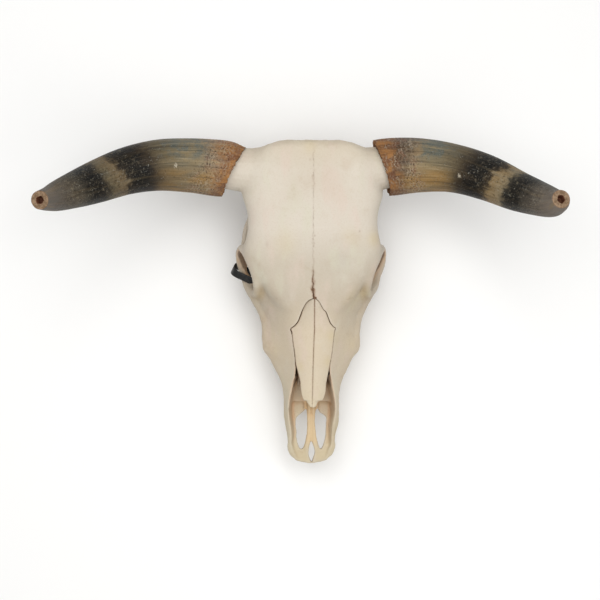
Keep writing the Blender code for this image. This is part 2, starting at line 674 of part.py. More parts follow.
def nasal_rings(grow, cover):
    """Both nasal bones as one shape, or the bed that they lie in."""
    rings = []
    for i, (u, width, ridge, fall, thickness) in enumerate(NASAL):
        u += grow * ((i == len(NASAL) - 1) - (i == 0))
        half = [(0.0, ridge), (0.5 * width, ridge + 0.28 * fall), (0.85 * width, ridge + 0.66 * fall),
                (width, ridge + fall)]
        if cover:
            half = [(x, d - cover) for x, d in half]
            half = half[:-1] + [(width + grow, ridge + fall - cover), (width + grow, ridge + fall)]
        sole = [(0.92 * width + grow, ridge + fall + thickness + grow),
                (0.4 * width, ridge + 0.4 * fall + thickness + grow)]
        right = half + sole
        left = [(-x, d) for x, d in reversed(right) if x > 0]
        rings.append([at(x, u, d) for x, d in right + left])
    return rings


# Horns, band and laying down
def horn(side, points):
    sign = SIDES[side]
    path = horn_path(points)
    body = horn_tube(f"horn_{side}", path)
    start = at(sign * HORN_START[side], *HORN_EDGE_PLACE)
    # the cut edge at the skull leans outwards on the side of the muzzle
    lean = HORN_EDGE_LEAN[side]
    across = Vector((math.cos(lean), sign * math.sin(lean), 0))
    spin = Matrix.Rotation(math.atan2(across.y, across.x), 4, "Z")
    cut(body, block("edge", start - across * sign * 0.2, (0.4, 0.4, 0.4), spin))
    first = abs(path[0][0].x)
    socket = []
    for point, radius in path:
        reach = abs(point.x) - first
        if reach <= SOCKET_REACH:
            socket.append((point, core_radius(reach) + SOCKET_PLAY))
    cut(body, horn_tube("socket", socket))
    tip, before = path[-1][0], path[-2][0]
    out = (tip - before).normalized()
    radius, depth = TIP_BORE
    bm = bmesh.new()
    bmesh.ops.create_cone(bm, cap_ends=True, segments=16, radius1=radius, radius2=radius, depth=2 * depth)
    bm.transform(Matrix.Translation(tip) @ out.to_track_quat("Z", "Y").to_matrix().to_4x4())
    return cut(body, new_object("bore", bm))


def band():
    """A flat closed strap round the lower rim of the left orbit."""
    half_across, half_deep = BAND_HALF
    curve = bpy.data.curves.new("tag_band", "CURVE")
    curve.dimensions = "2D"
    curve.fill_mode = "NONE"
    curve.extrude = BAND_WIDTH / 2
    spline = curve.splines.new("POLY")
    spline.points.add(23)
    for i, dot in enumerate(spline.points):
        turn = 2 * math.pi * i / 24
        ct, st = math.cos(turn), math.sin(turn)
        square = (abs(ct) ** 4 + abs(st) ** 4) ** -0.25  # a rounded rectangle
        dot.co = (square * ct * half_across, square * st * half_deep, 0, 1)
    spline.use_cyclic_u = True
    strap = meshed("tag_band", curve)
    solid = strap.modifiers.new("thickness", "SOLIDIFY")
    solid.thickness = BAND_THICKNESS
    solid.offset = 1
    baked(strap)
    upright = Matrix.Rotation(BAND_TURN, 4, "Z") @ Matrix.Rotation(math.radians(90), 4, "X")
    strap.data.transform(Matrix.Translation(at(*BAND_CENTRE)) @ upright)
    return strap


def resting_matrix():
    """Turns skull measures into the pose in which the skull lies on a floor at z = 0."""
    back = TOOTH_ROW_FRONT - sum(length for _, length, _ in TEETH)
    tooth = at(0, back, crown_depth(back) - FLOOR_BITE)
    jugular = at(0, JUGULAR_TIP[1], JUGULAR_TIP[2] - FLOOR_BITE)
    lean = math.atan2(jugular.z - tooth.z, jugular.y - tooth.y)
    turn = Matrix.Rotation(-lean, 4, "X")
    return Matrix.Translation((0, 0, -(turn @ tooth).z)) @ turn


def finish(obj):
    """Gives a piece its own material, and smooth shading between its sharp edges."""
    colour, roughness = FINISHES[obj.name.split("_")[0]]
    own = bpy.data.materials.new(obj.name)
    own.use_nodes = True
    shader = own.node_tree.nodes["Principled BSDF"]
    shader.inputs["Base Color"].default_value = (*colour, 1)
    shader.inputs["Roughness"].default_value = roughness
    shader.inputs["Metallic"].default_value = 0.0
    obj.data.materials.clear()
    obj.data.materials.append(own)
    obj.data.shade_smooth()
    obj.data.set_sharp_from_angle(angle=math.radians(40))


def loose_bodies(bm):
    """The vertices of each body in a mesh, the smallest body first."""
    left = set(bm.verts)
    bodies = []
    while left:
        stack, body = [left.pop()], []
        while stack:
            here = stack.pop()
            body.append(here)
            for edge in here.link_edges:
                there = edge.other_vert(here)
                if there in left:
                    left.discard(there)
                    stack.append(there)
        bodies.append(body)
    return sorted(bodies, key=len)


def cleaned(obj):
    """Welds what a cut left doubled, and drops crumbs that it cut off."""
    bm = bmesh.new()
    bm.from_mesh(obj.data)
    bmesh.ops.remove_doubles(bm, verts=bm.verts, dist=2e-6)
    bmesh.ops.dissolve_degenerate(bm, edges=bm.edges, dist=2e-6)
    crumbs = [v for body in loose_bodies(bm)[:-1] for v in body]
    bmesh.ops.delete(bm, geom=crumbs, context="VERTS")
    bm.to_mesh(obj.data)
    bm.free()


def bones():
    """The skull's bones, parted from one mass along their seams."""
    mass = thinned(skull_mass(), BONE_TRIANGLES)
    cut(mass, skin("nasal_bed", nasal_rings(FIT_GAP, 0.02), split=True))
    pieces = halves(part_off(mass, "roof", roof_region), "forehead")
    for side, sign in SIDES.items():
        pieces.append(part_off(mass, f"cheekbone_{side}", cheek_region(sign)))
    pieces.append(part_off(mass, "vomer", vomer_region))
    in_front = slanted_region("muzzle_region", (0.030, 0.368), (0.105, 0.438))
    pieces += halves(part_off(mass, "muzzle", in_front), "incisive")
    in_front = slanted_region("face_region", (0.040, 0.222), (0.160, 0.236))
    pieces += halves(part_off(mass, "face", in_front), "maxilla")
    mass.name = "braincase"
    pieces.append(mass)
    for piece in pieces:
        thinned(piece, SEAM_THINNING * len(piece.data.polygons))
    return pieces + halves(skin("nasals", nasal_rings(0.0, 0.0), split=True), "nasal")


def laid_down(pieces):
    """Turns the pieces into their resting pose, flattens what touches the floor, and centres them."""
    pose = resting_matrix()
    for piece in pieces:
        piece.data.transform(pose)
        if min(v.co.z for v in piece.data.vertices) < 0:
            cut(piece, block("floor", (0, 0, -0.5), (2, 2, 1)))
        cleaned(piece)
    dots = [v.co for piece in pieces for v in piece.data.vertices]
    middle = [(min(p[k] for p in dots) + max(p[k] for p in dots)) / 2 for k in (0, 1)]
    for piece in pieces:
        piece.data.transform(Matrix.Translation((-middle[0], -middle[1], 0)))


def main():
    start_scene()
    pieces = bones() + [horn("left", HORN_LEFT), horn("right", HORN_RIGHT), band()]
    laid_down(pieces)
    for piece in pieces:
        finish(piece)
        bpy.data.collections["cutters"].objects.unlink(piece)
        bpy.data.collections["steer_skull"].objects.link(piece)


main()
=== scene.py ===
import json
import math

import bmesh
import bpy
import numpy as np
import openvdb
from mathutils import Matrix, Vector

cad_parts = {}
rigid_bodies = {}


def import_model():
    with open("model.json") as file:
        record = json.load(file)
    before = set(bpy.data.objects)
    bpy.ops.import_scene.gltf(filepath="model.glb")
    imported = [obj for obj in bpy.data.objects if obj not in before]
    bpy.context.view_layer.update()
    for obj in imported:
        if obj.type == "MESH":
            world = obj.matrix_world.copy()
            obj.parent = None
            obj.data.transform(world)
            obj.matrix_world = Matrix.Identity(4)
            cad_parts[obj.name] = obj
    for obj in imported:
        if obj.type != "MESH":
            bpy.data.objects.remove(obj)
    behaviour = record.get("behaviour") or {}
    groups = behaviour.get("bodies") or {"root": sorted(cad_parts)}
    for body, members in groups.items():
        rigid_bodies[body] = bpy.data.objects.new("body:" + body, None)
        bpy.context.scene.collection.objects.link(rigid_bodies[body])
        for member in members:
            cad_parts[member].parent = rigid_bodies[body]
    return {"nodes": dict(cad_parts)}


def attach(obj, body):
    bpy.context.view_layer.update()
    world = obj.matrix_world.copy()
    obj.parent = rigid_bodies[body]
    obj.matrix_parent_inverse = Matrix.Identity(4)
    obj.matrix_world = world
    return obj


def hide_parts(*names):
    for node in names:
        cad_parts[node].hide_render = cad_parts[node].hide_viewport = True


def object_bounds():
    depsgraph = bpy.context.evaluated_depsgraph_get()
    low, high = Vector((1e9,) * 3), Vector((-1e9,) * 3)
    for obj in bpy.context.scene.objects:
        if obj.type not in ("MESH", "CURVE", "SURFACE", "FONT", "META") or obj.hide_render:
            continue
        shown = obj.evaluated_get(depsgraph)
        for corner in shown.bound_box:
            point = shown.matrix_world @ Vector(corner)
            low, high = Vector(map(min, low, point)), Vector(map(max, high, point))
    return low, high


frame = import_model()
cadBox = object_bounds()
print("frame loaded")

# how the skull lies in the frame: tilt in degrees, then where the poll's middle is
lying = {"tilt": 4.364, "middle": 0.0226, "pollAt": 0.2453, "height": 0.1936}
skullToFloor = (Matrix.Translation((lying["middle"], lying["pollAt"], lying["height"]))
                @ Matrix.Rotation(math.radians(lying["tilt"]), 4, "X"))

grid = {
    "low": (-0.166, -0.513, -0.204),
    "high": (0.166, 0.010, 0.005),
    "step": 0.0010,
    "reach": 0.012,  # how far from a surface its distances are kept
}
gridLow = np.array(grid["low"])
gridShape = tuple(int(round((h - l) / grid["step"])) for l, h in zip(grid["low"], grid["high"]))


def at(x, u, d):
    # a place on the skull, from millimetres to a point in metres
    return Vector((x / 1000, -u / 1000, -d / 1000))


def moved(points, matrix):
    # rows of points, turned and shifted by a matrix
    turn = np.array(matrix)
    return points @ turn[:3, :3].T + turn[:3, 3]


def between(table, x):
    # value at x of (x, value) rows
    return np.interp(x, [row[0] for row in table], [row[1] for row in table])


def eased(t):
    return t * t * (3 - 2 * t)


# small modelling tools
def addObject(name, data):
    # data is a mesh, a curve, a lamp or a camera, or else a bmesh that is used up
    if isinstance(data, bmesh.types.BMesh):
        bm, data = data, bpy.data.meshes.new(name)
        bm.to_mesh(data)
        bm.free()
    obj = bpy.data.objects.new(name, data)
    bpy.context.scene.collection.objects.link(obj)
    return obj


def evaluated(obj, keepAll=False):
    # a new mesh of an object as its modifiers leave it
    bpy.context.view_layer.update()
    graph = bpy.context.evaluated_depsgraph_get()
    how = {"preserve_all_data_layers": True, "depsgraph": graph} if keepAll else {}
    return bpy.data.meshes.new_from_object(obj.evaluated_get(graph), **how)


def pointsOf(mesh):
    # points and triangles
    mesh.calc_loop_triangles()
    points = np.empty(len(mesh.vertices) * 3, np.float32)
    mesh.vertices.foreach_get("co", points)
    faces = np.empty(len(mesh.loop_triangles) * 3, np.int32)
    mesh.loop_triangles.foreach_get("vertices", faces)
    return points.reshape(-1, 3), faces.reshape(-1, 3).astype(np.uint32)


def corners(obj):
    # points and triangles of an object, which is used up
    mesh = evaluated(obj)
    shape = pointsOf(mesh)
    bpy.data.batch_remove([mesh, obj, obj.data])
    return shape


def skin(rings, half=False):
    # a surface through rings of equal count with closed ends, rounded by subdivision
    # half rings start and end on the midline, and the other side is added
    bm = bmesh.new()
    rows = [[bm.verts.new(p) for p in ring] for ring in rings]
    count = len(rings[0])
    for a, b in zip(rows, rows[1:]):
        for i in range(count - 1 if half else count):
            j = (i + 1) % count
            bm.faces.new((a[i], a[j], b[j], b[i]))
    bm.faces.new(rows[0][::-1])
    bm.faces.new(rows[-1])
    bmesh.ops.recalc_face_normals(bm, faces=bm.faces)
    obj = addObject("skin", bm)
    if half:
        obj.modifiers.new("otherSide", "MIRROR").merge_threshold = 0.0001
    rounding = obj.modifiers.new("rounding", "SUBSURF")
    rounding.levels = rounding.render_levels = 3 if half else 2
    return corners(obj)


def loft(stations):
    # a symmetric body from half sections
    return skin([[at(x, u, d) for x, d in section] for u, section in stations], half=True)


def mirrored(shape):
    points, faces = shape
    other = points * np.array((-1, 1, 1), np.float32)
    return np.concatenate((points, other)), np.concatenate((faces, faces[:, ::-1] + len(points)))


def bar(path, up=(0, 0, 1), bothSides=True):
    # a bar along points (x, u, d), each with its half thickness across and half height
    points = [at(*p) for p, _, _ in path]
    turns = [2 * math.pi * k / 10 for k in range(10)]
    rings = []
    for i, (_, across, rise) in enumerate(path):
        across, rise = across / 1000, rise / 1000
        along = (points[min(i + 1, len(points) - 1)] - points[max(i - 1, 0)]).normalized()
        sideways = along.cross(Vector(up)).normalized()
        upwards = sideways.cross(along)
        rings.append([points[i] + sideways * across * math.cos(t) + upwards * rise * math.sin(t)
                      for t in turns])
    shape = skin(rings)
    return mirrored(shape) if bothSides else shape


def ball(centre, radii, turn=(0, 0, 0), bothSides=True):
    bm = bmesh.new()
    bmesh.ops.create_uvsphere(bm, u_segments=40, v_segments=24, radius=1)
    tilt = (Matrix.Rotation(turn[0], 4, "X") @ Matrix.Rotation(turn[1], 4, "Y")
            @ Matrix.Rotation(turn[2], 4, "Z"))
    bm.transform(Matrix.Translation(at(*centre)) @ tilt @ Matrix.Diagonal([r / 1000 for r in radii] + [1]))
    shape = corners(addObject("ball", bm))
    return mirrored(shape) if bothSides else shape


def tube(points, radii, closed=False):
    curve = bpy.data.curves.new("tube", "CURVE")
    curve.dimensions = "3D"
    curve.bevel_depth = 1.0
    curve.bevel_resolution = 10
    curve.use_fill_caps = not closed
    spline = curve.splines.new("POLY")
    spline.points.add(len(points) - 1)
    for dot, point, radius in zip(spline.points, points, radii):
        dot.co = (*point, 1)
        dot.radius = radius / 1000
    spline.use_cyclic_u = closed
    return corners(addObject("tube", curve))


# distances on the grid
def block(points, faces):
    # where a shape lies in the grid, and the distances to its surface there
    step = grid["step"]
    place = (points - gridLow) / step
    margin = grid["reach"] / step
    low = np.maximum(np.floor(place.min(0) - margin), 0).astype(int)
    high = np.minimum(np.ceil(place.max(0) + margin) + 1, gridShape).astype(int)
    surface = openvdb.FloatGrid.createLevelSetFromPolygons(
        place.astype(np.float32), triangles=np.ascontiguousarray(faces),
        transform=openvdb.createLinearTransform(1.0), halfWidth=margin)
    values = np.empty(tuple(high - low), np.float32)
    surface.copyToArray(values, ijk=tuple(int(v) for v in low))
    return tuple(slice(a, b) for a, b in zip(low, high)), values * step


def softMin(a, b, blend):
    overlap = np.maximum(blend - np.abs(a - b), 0)
    return np.minimum(a, b) - overlap * overlap / (4 * blend)


def softMax(a, b, blend):
    return -softMin(-a, -b, blend)


def emptySpace():
    return np.full(gridShape, grid["reach"], np.float32)


def grow(space, shape, blend):
    where, values = block(*shape)
    space[where] = softMin(space[where], values, blend)


def carve(space, shape, blend):
    where, values = block(*shape)
    space[where] = -softMin(-space[where], values, blend)


def soften(space, rounds=1):
    for _ in range(rounds):
        for axis in range(3):
            view = np.moveaxis(space, axis, 0)
            middle = view[1:-1] * 0.5 + (view[:-2] + view[2:]) * 0.25
            view[1:-1] = middle


def clouds(shape, size, seed):
    # soft random values from -1 to 1, in lumps of about that many cells
    picker = np.random.default_rng(seed)
    values = picker.uniform(-1, 1, [int(n / size) + 3 for n in shape]).astype(np.float32)
    for axis, count in enumerate(shape):
        place = np.arange(count) / size
        cell = place.astype(int)
        part = eased((place - cell).astype(np.float32))[:, None, None]
        values = np.moveaxis(values, axis, 0)
        values = values[cell] * (1 - part) + values[cell + 1] * part
        values = np.moveaxis(values, 0, axis)
    return values


def cellsOf(axis, part=slice(None)):
    # x, u or d of the grid's cells, shaped to spread over the other two axes
    values = gridLow[axis] + np.arange(gridShape[axis]) * grid["step"]
    values = values if axis == 0 else -values
    shape = [1, 1, 1]
    shape[axis] = -1
    return values[part].reshape(shape).astype(np.float32)


def valuesAt(space, points):
    # values between the cells
    place = np.clip((points - gridLow) / grid["step"], 0, np.array(gridShape) - 1.001)
    cell = place.astype(int)
    t = (place - cell).astype(np.float32)
    total = 0
    for i, j, k in np.ndindex(2, 2, 2):
        weight = ((t[:, 0] if i else 1 - t[:, 0]) * (t[:, 1] if j else 1 - t[:, 1])
                  * (t[:, 2] if k else 1 - t[:, 2]))
        total = total + weight * space[cell[:, 0] + i, cell[:, 1] + j, cell[:, 2] + k]
    return total


def surfaceOf(space, step, far=4.0):
    # quads of the surface where the distances are 0, and their points, counted in cells
    volume = openvdb.FloatGrid(far)
    volume.copyFromArray(np.ascontiguousarray(space / step, dtype=np.float32))
    points, _, quads = volume.convertToPolygons()
    return points, quads


def closeSides(space, value):
    # nothing is solid in the outermost cells, so that the surface closes there
    for axis in range(3):
        view = np.moveaxis(space, axis, 0)
        view[0], view[-1] = np.maximum(view[0], value), np.maximum(view[-1], value)


def outward(points, quads):
    # turns the faces round if they enclose a negative volume
    a, b, c, d = (points[quads[:, k]] for k in range(4))
    volume = np.einsum("ij,ij->", a, np.cross(b, c)) + np.einsum("ij,ij->", a, np.cross(c, d))
    return quads if volume > 0 else quads[:, ::-1]


# the skull's bone as one mass
forehead = {
    "thickness": 46,
    # u, half width, depth of the middle, depth of the side edge
    "rows": [
        (-3, 48, 16, 24), (1, 63, 7, 24), (9, 84, 2, 26), (22, 98, 0, 29), (52, 106, 0, 32),
        (78, 116, 0, 34), (92, 112, 0, 31), (112, 104, 1, 28), (140, 105, 2, 28), (158, 110, 4, 30),
        (172, 112.5, 5, 33), (184, 108, 6, 31), (200, 98, 8, 29), (222, 84, 9, 31), (246, 66, 11, 34),
        (268, 48, 14, 36),
    ],
}
braincase = [  # u, half width, top depth, bottom depth
    (24, 50, 40, 108), (40, 64, 32, 128), (65, 67, 24, 142), (95, 64, 20, 147), (130, 52, 20, 144),
    (165, 40, 20, 134), (200, 44, 18, 128), (235, 52, 18, 130),
]
backWall = {
    "thickness": 26,
    # depth, u of the rear face, half width
    "rows": [
        (14, 10, 80), (35, 5, 84), (60, 12, 82), (85, 24, 90), (106, 34, 104), (122, 42, 94),
        (138, 48, 62), (146, 52, 30),
    ],
}
face = [  # u, then the half section as (x, d) from the ridge round the cheek to the palate
    (205, [(0, 8), (30, 9), (58, 13), (80, 22), (86, 36),
           (76, 70), (70, 95), (56, 118), (40, 128), (0, 128)]),
    (246, [(0, 11), (22, 12), (42, 18), (62, 32), (80, 52),
           (94, 76), (89, 96), (68, 136), (46, 150), (0, 132)]),
    (265, [(0, 12), (20, 13), (37, 19), (54, 36), (69, 58),
           (77, 81), (76, 98), (66, 142), (43, 150), (0, 130)]),
    (290, [(0, 14), (19, 15), (34, 21), (49, 41), (62, 64),
           (74, 85), (72, 100), (64, 140), (41, 145), (0, 126)]),
    (322, [(0, 17), (17, 18), (30, 25), (44, 45), (61, 67),
           (84, 87), (74, 98), (62, 129), (39, 133), (0, 119)]),
    (330, [(0, 18), (16, 19), (29, 26), (42, 45), (59, 67),
           (81, 86), (73, 97), (61, 127), (38, 130), (0, 117)]),
    (338, [(0, 19), (16, 20), (28, 28), (41, 46), (54, 66),
           (70, 86), (67, 96), (58, 123), (37, 126), (0, 114)]),
    (358, [(0, 22), (15, 23), (26, 31), (35, 48), (46, 66),
           (60, 85), (58, 94), (51, 116), (34, 118), (0, 108)]),
    (382, [(0, 26), (14, 27), (27, 36), (35, 51), (42, 66),
           (46, 82), (46, 91), (44, 106), (31, 108), (0, 102)]),
    (398, [(0, 31), (13, 33), (28, 42), (36, 54), (42, 68),
           (44.5, 81), (43.5, 89), (41, 100), (30, 102), (0, 98)]),
    (412, [(0, 40), (12, 42), (24, 52), (31, 62), (36, 73),
           (38, 82), (37, 89), (34, 96), (26, 98), (0, 96)]),
]
nosePassage = [  # u, then the half section
    (318, [(0, 46), (12, 48), (20, 58), (24, 72), (22, 82), (0, 86)]),
    (334, [(0, 20), (18, 26), (23.5, 42), (30, 66), (29, 86), (0, 92)]),
    (350, [(0, 10), (25.5, 16), (26.2, 40), (33, 66), (33, 87), (0, 92)]),
    (362, [(0, 10), (26.2, 16), (26.4, 42), (34, 67), (34, 87), (0, 92)]),
    (371, [(0, 10), (26.2, 16), (26.8, 44), (34.5, 68), (35, 86), (0, 91)]),
    (381, [(0, 10), (30, 18), (30.5, 46), (35.5, 68), (36, 86), (0, 91)]),
    (393, [(0, 10), (33, 20), (33.5, 50), (37, 69), (36, 85), (0, 90.5)]),
    (408, [(0, 10), (36, 24), (36.5, 55), (37.8, 71), (34, 84), (0, 90)]),
    (424, [(0, 10), (37.5, 30), (37, 60), (36, 73), (32, 84), (0, 90)]),
    (446, [(0, 10), (35, 40), (34, 66), (32, 76), (28, 85), (0, 90)]),
]


def foreheadShape():
    stations = []
    for u, width, middle, edge in forehead["rows"]:
        fall, sole = edge - middle, middle + forehead["thickness"]
        stations.append((u, [(0, middle), (0.36 * width, middle + 0.8), (0.68 * width, middle + 0.10 * fall),
                             (0.90 * width, middle + 0.36 * fall), (width, edge), (0.92 * width, edge + 10),
                             (0.62 * width, sole), (0, sole)]))
    return loft(stations)


def braincaseShape():
    stations = []
    for u, width, top, bottom in braincase:
        depth = bottom - top
        stations.append((u, [(0, top), (0.75 * width, top + 0.05 * depth), (width, top + 0.35 * depth),
                             (0.98 * width, top + 0.62 * depth), (0.62 * width, top + 0.92 * depth),
                             (0, bottom)]))
    return loft(stations)


def backWallShape():
    rings = []
    for d, u, width in backWall["rows"]:
        deep = u + backWall["thickness"]
        row = [(0, u), (0.55 * width, u + 2), (0.9 * width, u + 8), (width, u + 16), (0.8 * width, deep + 6),
               (0, deep + 10)]
        rings.append([at(x, v, d) for x, v in row])
    return skin(rings, half=True)


orbit = {"centre": (101, 202, 64), "radius": 35, "lean": (11, 8.5), "rim": 5.6, "opening": (60, 29.5, 30)}


def orbitRim():
    x, u, d = orbit["centre"]
    leanIn, leanOut = orbit["lean"]
    points, radii = [], []
    for k in range(48):
        turn = 2 * math.pi * k / 48  # 0 is the front of the rim, a quarter turn its lower edge
        points.append(at(x - leanIn * math.cos(turn) + leanOut * math.sin(turn),
                         u + orbit["radius"] * math.cos(turn), d + orbit["radius"] * math.sin(turn)))
        radii.append(orbit["rim"] * (1 - 0.28 * max(0.0, math.cos(turn - 3.7))))
    return mirrored(tube(points, radii, closed=True))


cheekBars = [  # path of ((x, u, d), half thickness, half height), and which way is up
    ([((108.5, 196, 100), 6, 11), ((109, 172, 106), 5, 11), ((107, 148, 110), 5, 10),
      ((103, 126, 111), 5, 9), ((92, 112, 113), 8, 9), ((74, 106, 114), 12, 12)], (0, 0, 1)),
    ([((101, 210, 96), 9, 10), ((93, 238, 92), 10, 14), ((77, 262, 90), 10, 14), ((68, 290, 89), 9, 10),
      ((68, 322, 88), 10, 8)], (0, 0, 1)),
    ([((102, 166, 32), 6, 12), ((105, 167, 55), 5, 9), ((107, 170, 80), 5, 9),
      ((108, 174, 102), 5, 14)], (0, 1, 0)),
]


def baseShapes():
    # broad masses of the base, and the finer ones that stand on them
    broad = [
        ball((29, 50, 138), (21, 18, 26), (0.3, 0.35, 0)),  # condyles
        bar([((72, 50, 112), 22, 16), ((67, 56, 136), 16, 13)], up=(0, 1, 0)),
        bar([((102, 52, 94), 10, 12), ((94, 58, 116), 11, 12), ((80, 62, 130), 10, 10)], up=(0, 1, 0)),
        bar([((52, 94, 112), 12, 12), ((86, 94, 112), 9, 9)]),  # ear tubes
        bar([((52, 118, 116), 14, 12), ((78, 120, 117), 13, 9), ((97, 121, 114), 9, 7)]),  # jaw sockets
        bar([((0, 52, 148), 26, 10), ((0, 80, 149), 22, 11), ((0, 98, 149), 24, 11),
             ((0, 130, 142), 19, 11), ((0, 170, 134), 15, 12), ((0, 210, 126), 14, 12)], bothSides=False),
        ball((52, 240, 130), (17, 20, 24)),
    ]
    fine = [
        ball((16, 62, 152), (14, 18, 10), (0, 0.3, 0.2)),
        bar([((67, 54, 124), 17, 12), ((65.5, 60, 146), 11, 12.5), ((61, 68, 168), 6.2, 12.5),
             ((56, 76, 192.4), 6, 8.5)], up=(0, 1, 0)),
        ball((44, 98, 146), (10, 17, 19), (0.3, 0, 0.2)),  # ear bones
        bar([((46, 102, 154), 6, 6), ((42, 118, 170), 3, 3)]),
        bar([((58, 107, 124), 12, 4.5), ((82, 108, 122), 8, 3.5)]),
        bar([((31, 246, 134), 8, 18), ((27.5, 222, 138), 4.5, 19), ((27, 198, 140), 3.6, 20),
             ((27.5, 176, 140), 4, 20), ((29, 158, 136), 6, 16)]),
        bar([((27.5, 184, 152), 4, 7), ((29, 168, 164), 3.2, 4)]),
    ]
    return broad, fine


muzzle = {
    "left": [(40, 368), (42.5, 380), (43.5, 394), (43.7, 410), (43.6, 432), (41.4, 448), (38.9, 461),
             (37.4, 472), (38.0, 480), (38.0, 487), (36.4, 493), (32.5, 499.8), (26, 504.6), (15, 508.4),
             (4, 510.0)],
    "right": [(40, 366), (43, 380), (44.3, 396), (44.6, 432), (43, 448), (39.7, 460), (38.2, 473),
              (39.6, 482), (38, 489), (34.6, 496.8), (27.5, 503.6), (17, 507.8), (3.5, 509.8)],
    "leftGap": [(-8, 422.5), (-13, 428), (-19.3, 433), (-23.3, 438), (-24.2, 449), (-22.6, 460),
                (-23.2, 468), (-21, 478), (-18.3, 485.5), (-15.6, 487), (-13, 485.5), (-11.2, 480),
                (-8.1, 468), (-6.5, 449), (-7.2, 430)],
    "rightGap": [(9.6, 422.5), (6.6, 428), (6.4, 441), (7.2, 454), (8.9, 468), (12.9, 483),
                 (16, 487), (19.3, 480), (22.5, 468), (23.3, 457), (24, 441), (23.2, 436), (19.2, 432),
                 (14.4, 428)],
    "frontGap": [(0, 475), (-2.6, 484), (-4.0, 493), (-2.8, 500), (0.2, 507.5), (1.0, 507.5),
                 (4.0, 500), (5.4, 493), (3.6, 484)],
    "ridgeAt": [(366, 26.0), (372, 26.6), (381, 30.5), (393, 33.6), (406, 36.2), (422, 37.8),
                (438, 36.2), (450, 33.8), (466, 32.4), (480, 32.4), (492, 28.0), (510, 22.0)],
    "ridgeDepth": [(366, 46.0), (378, 46.0), (390, 47.5), (404, 50.5), (425, 58), (446, 69.5), (466, 79),
                   (480, 84), (492, 87), (510, 89.5)],
    "floorDepth": [(366, 90), (450, 91.5), (480, 90), (500, 90.5), (510, 92)],
    "soleDepth": [(366, 104), (382, 102), (406, 99.5), (430, 98.6), (480, 98.6), (500, 98.2), (510, 96)],
    "wallRun": [(370, 7.0), (420, 8.0), (455, 6.5), (475, 4.5), (510, 4.0)],
    "barDepth": [(366, 86), (420, 85.5), (455, 86), (480, 88), (500, 90)],
}


def smoothed(rows, samples):
    # points on a smooth line from the second row to the last but one
    dots = []
    for p, q, r, s in zip(rows, rows[1:], rows[2:], rows[3:]):
        for t in (k / samples for k in range(samples)):
            dots.append(0.5 * (2 * q + (r - p) * t + (2 * p - 5 * q + 4 * r - s) * t * t
                               + (3 * q - p - 3 * r + s) * t ** 3))
    return dots


def planDistance(outline, x, u):
    # signed distance in the plan to a closed outline that is rounded first; below 0 is inside
    rows = [np.array(p, float) for p in outline]
    dots = np.array(smoothed([rows[-1], *rows, rows[0], rows[1]], 4))
    ends = np.roll(dots, -1, axis=0)
    nearest = np.full(np.broadcast(x, u).shape, 1e9)
    inside = np.zeros(nearest.shape, bool)
    for (x0, u0), (x1, u1) in zip(dots, ends):
        dx, du = x1 - x0, u1 - u0
        t = np.clip(((x - x0) * dx + (u - u0) * du) / max(dx * dx + du * du, 1e-12), 0, 1)
        nearest = np.minimum(nearest, (x - x0 - dx * t) ** 2 + (u - u0 - du * t) ** 2)
        crosses = (u0 > u) != (u1 > u)
        if u1 != u0:
            inside ^= crosses & (x < x0 + dx * (u - u0) / du)
    return np.where(inside, -np.sqrt(nearest), np.sqrt(nearest))


def muzzleGaps(x, u):
    return np.minimum.reduce([planDistance(muzzle[gap], x, u) for gap in ("leftGap", "rightGap", "frontGap")])


def muzzleShape():
    step = 0.9
    low = (-54, 364, 30)
    x, u = np.meshgrid(np.arange(-54, 54, step), np.arange(364, 516, step), indexing="ij")
    left = [(-a, b) for a, b in muzzle["left"]]
    outer = planDistance(left + muzzle["right"][::-1], x, u)
    plan = softMax(outer, -muzzleGaps(x, u), 1.5)[:, :, None]
    wide = np.abs(x)
    edges = [between([(b, a) for a, b in muzzle[side][:-2]], u) for side in ("left", "right")]
    edge = np.where(x < 0, *edges)
    ridge = between(muzzle["ridgeAt"], u)
    crest, floor = between(muzzle["ridgeDepth"], u), between(muzzle["floorDepth"], u)
    sole = between(muzzle["soleDepth"], u) - 7.0 * np.clip(wide / edge, 0, 1.1) ** 5
    run = eased(np.clip((ridge - wide) / between(muzzle["wallRun"], u), 0, 1))
    fall = np.clip((wide - ridge) / np.maximum(edge - ridge, 3), 0, 1.2) ** 1.7
    top = crest + (floor - crest) * run + np.maximum(84 - crest, 3) * 0.85 * fall
    # the bar along the middle, with a groove on top
    middle = between(muzzle["barDepth"], u) + 1.6 * np.exp(-(x - 0.8) ** 2 / 2.5)
    top = np.where(wide < 12, np.minimum(top, middle + 0.02 * np.maximum(wide - 5, 0) ** 2.4), top)
    d = np.arange(30, 108, step)[None, None, :]
    space = softMax(softMax(plan, top[:, :, None] - d, 2.0), d - sole[:, :, None], 2.0).astype(np.float32)
    soften(space, 1)
    closeSides(space, 2.0)
    points, quads = surfaceOf(space, step)
    points = ((points * step + np.array(low)) * np.array((1, -1, -1))).astype(np.float32)
    quads = outward(points, quads)
    faces = np.concatenate((quads[:, :3], quads[:, (0, 2, 3)])).astype(np.uint32)
    return points * np.float32(0.001), faces


